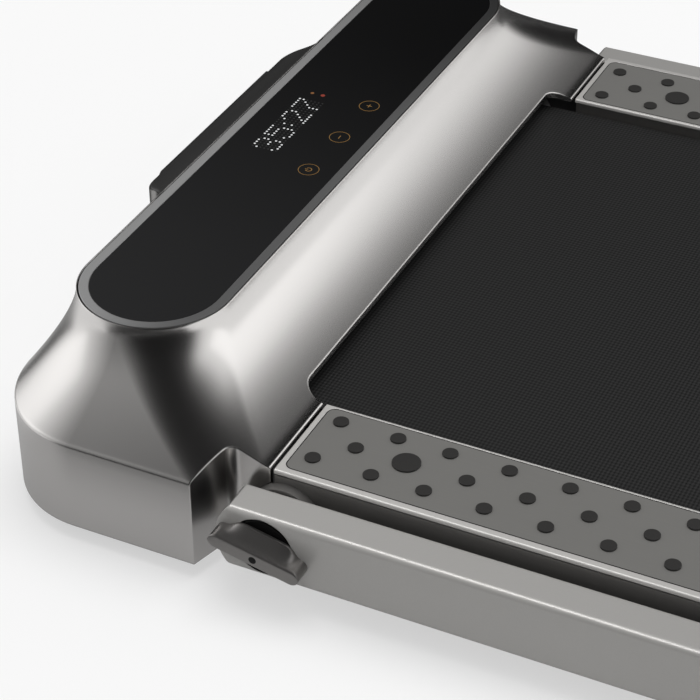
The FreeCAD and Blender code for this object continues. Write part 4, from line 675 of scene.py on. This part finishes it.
def glossy(name, colour, rough, shine=0.5, grain=300.0, wave=0.0):
    """A smooth coloured face with a slight cloud in its colour, gloss and relief."""
    material, nodes, place = paint(name)
    cloud = nodes.add("ShaderNodeTexNoise", {}, {"Vector": place, "Scale": grain, "Detail": 2.0})["Fac"]
    tone = nodes.blend(cloud, tuple(c * 0.85 for c in colour), tuple(c * 1.15 for c in colour))
    soft = nodes.add("ShaderNodeBevel", {"samples": 8}, {"Radius": 0.0006})["Normal"]
    relief = nodes.add("ShaderNodeBump", {}, {"Strength": wave, "Distance": 0.0002, "Height": cloud,
                                              "Normal": soft})["Normal"]
    face = nodes.add("ShaderNodeBsdfPrincipled", {}, {"Base Color": tone, "Specular IOR Level": shine,
                                                      "Roughness": (cloud - 0.5) * 0.06 + rough,
                                                      "Normal": relief})["BSDF"]
    nodes.add("ShaderNodeOutputMaterial", {}, {"Surface": face})
    return material


black_plastic = glossy("black_plastic", (0.018, 0.018, 0.019), 0.42, 0.4, 700.0, 0.15)
black_rubber = glossy("black_rubber", (0.02, 0.02, 0.02), 0.62, 0.3, 900.0, 0.25)
dressed(node["display_board"], glossy("circuit_board", (0.02, 0.09, 0.05), 0.4, 0.5, 500.0, 0.3))
dressed(node["stand_pad"], black_rubber)
for name in ("socket_panel", "power_inlet", "switch_rocker"):
    dressed(node[name], black_plastic)

# Foot rails: steel beams under satin covers, each with a brushed plate let in and rubber dots pressed
# into it. Plastic caps close their rear ends, and a rubber strip along each beam closes the gap to
# the belt.
PLATE_X, PLATE_Y = 0.25415, -0.0614
PLATE_HALF_WIDTH, PLATE_HALF_LENGTH, PLATE_JOINT = 0.0277, 0.52275, 0.0054
STRIP_INNER, STRIP_OUTER, STRIP_REAR, STRIP_FRONT = 214.4, 217.8, -556.0, 466.0
STRIP_LOW, STRIP_TOP = 56.0, 63.0


def plate_joint(nodes, place):
    """One on the fine joint round a plate: the distance past a smaller rectangle, taken from the two
    distances past its sides and ends, is over the corner's radius."""
    part = nodes.split(place)
    across = abs(abs(part["X"]) - PLATE_X) - PLATE_HALF_WIDTH
    along = abs(part["Y"] - PLATE_Y) - PLATE_HALF_LENGTH
    return (across.larger(0.0) ** 2.0 + along.larger(0.0) ** 2.0) ** 0.5 > PLATE_JOINT


satin_rail = satin_metal("satin_rail", (0.46, 0.45, 0.435), 0.36, metallic=0.35)
brushed = satin_metal("brushed_tread", (0.277, 0.272, 0.26), 0.42, (1, 0.012, 1), 1500.0, metallic=0.4,
                      dark=plate_joint)
beam_steel = satin_metal("beam_steel", (0.2, 0.194, 0.187), 0.38, metallic=0.5)
black_steel = glossy("black_steel", (0.02, 0.02, 0.021), 0.38, 0.5, 1200.0, 0.2)
dot_rubber = glossy("dot_rubber", (0.031, 0.030, 0.029), 0.55, 0.4, 1200.0, 0.2)
for side in ("left", "right"):
    dressed(node["rail_cover_" + side], satin_rail)
    dressed(node["tread_plate_" + side], brushed)
    dressed(node["grip_dots_" + side], dot_rubber)
    dressed(node["side_rail_" + side], beam_steel)
    dressed(node["front_plate_" + side], black_steel)
    dressed(node["tail_cap_" + side], black_plastic)
dressed(node["cross_members"], black_steel)
for name, left, right in (("gap_strip_left", -STRIP_OUTER, -STRIP_INNER),
                          ("gap_strip_right", STRIP_INNER, STRIP_OUTER)):
    strip = dressed(box(name, left, STRIP_REAR, right, STRIP_FRONT, STRIP_LOW, STRIP_TOP), black_rubber)
    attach(strip, "base")

# Running belt: black rubber on a fabric with a fine square weave, joined into a loop and stretched over
# the two rollers. It slides on a board with a hard face, which lies on rubber cushions.
belt, nodes, place = paint("belt_rubber")
ribs = nodes.add("ShaderNodeTexWave", {"bands_direction": "Y"},
                 {"Vector": place, "Scale": 122.0, "Distortion": 0.3})["Fac"]
cross = nodes.add("ShaderNodeTexWave", {"bands_direction": "X"},
                  {"Vector": place, "Scale": 108.0, "Distortion": 0.3})["Fac"]
speck = nodes.add("ShaderNodeTexNoise", {}, {"Vector": place, "Scale": 1400.0, "Detail": 2.0})["Fac"]
weave = ribs * 0.45 + cross * 0.35 + speck * 0.2
tone = nodes.blend(weave, (0.003, 0.003, 0.003), (0.034, 0.034, 0.034))
relief = nodes.add("ShaderNodeBump", {}, {"Strength": 0.6, "Distance": 0.0004, "Height": weave})["Normal"]
cloth = nodes.add("ShaderNodeBsdfPrincipled", {}, {"Base Color": tone, "Specular IOR Level": 0.4,
                                                   "Roughness": weave * -0.1 + 0.62,
                                                   "Normal": relief})["BSDF"]
nodes.add("ShaderNodeOutputMaterial", {}, {"Surface": cloth})
dressed(node["running_belt"], belt)
dressed(node["deck_board"], glossy("deck_wood", (0.10, 0.08, 0.06), 0.5, 0.4, 60.0, 0.1))
dressed(node["deck_cushions"], black_rubber)

# Drive: turned steel rollers on shafts and bearings, the front one turned by a motor through a belt and
# two pulleys. The motor, its cradle and its finned controller are bolted down in the hood.
bright_steel = satin_metal("bright_steel", (0.5, 0.5, 0.5), 0.28)
for name in ("front_roller", "rear_roller", "front_roller_shaft", "rear_axle", "roller_bearings",
             "motor_shaft"):
    dressed(node[name], bright_steel)
pulley_metal = satin_metal("pulley_metal", (0.42, 0.42, 0.42), 0.36)
for name in ("roller_pulley", "motor_pulley", "heat_sink"):
    dressed(node[name], pulley_metal)
dressed(node["motor_can"], black_steel)
dressed(node["drive_belt"], black_rubber)
for name in ("motor_cradle", "controller_box"):
    dressed(node[name], black_plastic)

# Handrail: rectangular aluminium tube, satin anodised and bent at the rear corners. Plastic hubs in its
# front ends turn on steel pins in two brackets, and folded, it lies on plastic rests.
PIVOT_Y, PIVOT_Z, ARM_FACE = 462.0, 45.0, 327.5


def from_pivot(part):
    """The distance from the handrail's axis, in metres."""
    along, upward = part["Y"] - PIVOT_Y * 0.001, part["Z"] - PIVOT_Z * 0.001
    return (along * along + upward * upward) ** 0.5


def knob_recess_painted_shade(nodes, place):
    """One inside the round sink for a knob, at the front end of each arm, which is painted black as
    shade, and nought elsewhere.
    """
    sink_radius, sink_face = 0.0211, 0.3272
    part = nodes.split(place)
    return (from_pivot(part) < sink_radius) * (abs(part["X"]) < sink_face)


satin_arm = satin_metal("satin_arm", (0.38, 0.372, 0.36), 0.34, metallic=0.4, dark=knob_recess_painted_shade)
edge_lit = bpy.data.collections.new("edge_lit")
for name in ("arm_left", "arm_right", "elbow_left", "elbow_right", "crossbar"):
    dressed(node[name], satin_arm)
    edge_lit.objects.link(node[name])
for side in ("left", "right"):
    dressed(node["hinge_bracket_" + side], beam_steel)
    dressed(node["pivot_pin_" + side], bright_steel)
    dressed(node["arm_hub_" + side], black_plastic)
    edge_lit.objects.link(node["rail_cover_" + side])
dressed(node["arm_rests"], black_plastic)
edge_lamp = lamp("edge_lamp", (-0.7, 0.5, 1.3), (-0.31, 0.1, 0.07), (2.2, 0.24), 13)
edge_lamp.light_linking.receiver_collection = edge_lit

# Lock knobs: die-cast metal bars with a finger scoop on both sides of a ridge, one on each pin. A disc
# behind the bar sits in a round sink in the arm's side.
KNOB_LENGTH, KNOB_THICK, KNOB_DISC, KNOB_TILT = 63.0, 10.4, 20.0, math.radians(12)
KNOB_EDGE, KNOB_RIDGE, SCOOP_HALF, SCOOP_POWER = 1.2, 7.2, 22.0, 1.7


def knob_painted_shade(nodes, place):
    """One on the disc of a knob, which lies in the arm, and in the small hole in its face; both are
    painted black as shade.
    """
    disc_face, hole_radius, hole_floor = 0.3274, 0.0026, 0.3395
    part = nodes.split(place)
    across = abs(part["X"])
    return (across < disc_face).larger((from_pivot(part) < hole_radius) * (across > hole_floor))


knob_grey = satin_metal("knob_grey", (0.27, 0.26, 0.253), 0.3, metallic=0.85, dark=knob_painted_shade)


def knob(name, side):
    """An oblong section is carried along the bar. It runs from the arm out along the top, round the
    face's edges and back along the bottom. Its height shrinks by a circle at the two ends; between
    them it grows toward the arm by a power of the depth, which leaves a ridge over a finger scoop.
    The disc is a stack of circles."""
    low, high = (np.array(corner) * 1000 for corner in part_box(name))
    tip, root = (high[0], low[0]) if side > 0 else (-low[0], -high[0])
    foot, brow = ARM_FACE - 1, tip - KNOB_EDGE
    way = np.sin(np.linspace(-np.pi / 2, np.pi / 2, 61))[:, None] * KNOB_LENGTH / 2
    turn = np.linspace(0, np.pi / 2, 7)[1:]
    out = np.concatenate([np.linspace(foot, brow, 25), brow + KNOB_EDGE * np.sin(turn)])
    lift = np.concatenate([np.ones(25), 1 - 2 * KNOB_EDGE / KNOB_THICK * (1 - np.cos(turn))])
    out, lift = np.concatenate([out, out[::-1]]), np.concatenate([lift, -lift[::-1]])
    past = np.maximum(np.abs(way) - (KNOB_LENGTH - KNOB_THICK) / 2, 0) / (KNOB_THICK / 2)
    ends = np.sqrt(np.maximum(1 - past ** 2, 0.0004))
    depth = np.clip((brow - out) / (brow - ARM_FACE - 1.6), 0, 1)
    ridge = KNOB_RIDGE * np.exp(-(way / SCOOP_HALF) ** 8) * depth ** SCOOP_POWER
    height = (KNOB_THICK / 2 * ends + ridge) * lift
    bar = np.stack([side * out + 0 * way,
                    PIVOT_Y + way * math.cos(KNOB_TILT) - height * math.sin(KNOB_TILT),
                    PIVOT_Z + way * math.sin(KNOB_TILT) + height * math.cos(KNOB_TILT)], axis=-1)
    angle = np.linspace(0, 2 * np.pi, 48, endpoint=False)
    place = np.array([root, ARM_FACE - 1.2, ARM_FACE - 0.4, ARM_FACE - 0.4])[:, None]
    radius = np.array([KNOB_DISC, KNOB_DISC, KNOB_DISC - 0.8, 4.0])[:, None]
    disc = np.stack([side * place + 0 * angle, PIVOT_Y + radius * np.cos(angle),
                     PIVOT_Z + radius * np.sin(angle)], axis=-1)
    piece = stacked(name + "_look", bar[:, ::side])
    round_part = stacked(name + "_disc", disc[:, ::side])
    joined = bmesh.new()
    joined.from_mesh(piece.data)
    joined.from_mesh(round_part.data)
    joined.to_mesh(piece.data)
    joined.free()
    bpy.data.objects.remove(round_part)
    smoothed(piece, 35)
    dressed(piece, knob_grey)
    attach(piece, name)
    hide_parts(name)


knob("lock_knob_left", -1)
knob("lock_knob_right", 1)

# Foam grip: a black sleeve of closed-cell foam, extruded as a tube, cut to length and pushed over the
# crossbar. Its ends are soft and round.
FOAM_THICK, FOAM_ROUND = 4.0, 9.0
low, high = (np.array(corner) * 1000 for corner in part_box("foam_grip"))
middle, half = (low + high) / 2, (high - low) / 2
soft = np.linspace(0, np.pi / 2, 8)
pinch = FOAM_THICK * 0.9 * (1 - np.sin(soft))
reach = half[0] - FOAM_THICK * 0.9 + FOAM_THICK * 0.9 * np.cos(soft)
# An oblong section with round corners is carried along the bar, and shrinks by a circle at each end.
stations = np.concatenate([-reach, np.linspace(-reach[-1], reach[-1], 25)[1:-1], reach[::-1]])
insets = np.concatenate([pinch, np.zeros(23), pinch[::-1]])
turn = np.linspace(0, 2 * np.pi, 64, endpoint=False)
flat, tall = half[1] - insets[:, None], half[2] - insets[:, None]
corner = np.minimum(FOAM_ROUND, flat - 0.1) - 0.4 * insets[:, None]
bend = np.stack([np.sign(np.cos(turn)) * (flat - corner) + corner * np.cos(turn),
                 np.sign(np.sin(turn)) * (tall - corner) + corner * np.sin(turn)], axis=-1)
along = np.broadcast_to(stations[:, None, None], bend.shape[:2] + (1,))
grip = stacked("foam_sleeve", np.concatenate([along, bend], axis=-1) + middle)
smoothed(grip, 60)
dressed(grip, glossy("grip_foam", (0.02, 0.02, 0.02), 0.8, 0.3, 900.0, 0.9))
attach(grip, "handrail")
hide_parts("foam_grip")

# Belly pan, feet and transport wheels: a plastic pan closes the hood from below. Round rubber feet are
# screwed under it and under the beams, and hard wheels on steel axles stand in windows at its front.
dressed(node["belly_pan"], black_plastic)
for name in ("front_feet", "rear_feet"):
    dressed(node[name], black_rubber)
tyre = glossy("wheel_tyre", (0.025, 0.025, 0.025), 0.5, 0.4, 500.0, 0.2)
for name in ("wheel_left", "wheel_right"):
    dressed(node[name], tyre)
dressed(node["wheel_axles"], bright_steel)
dressed(node["wheel_brackets"], black_steel)
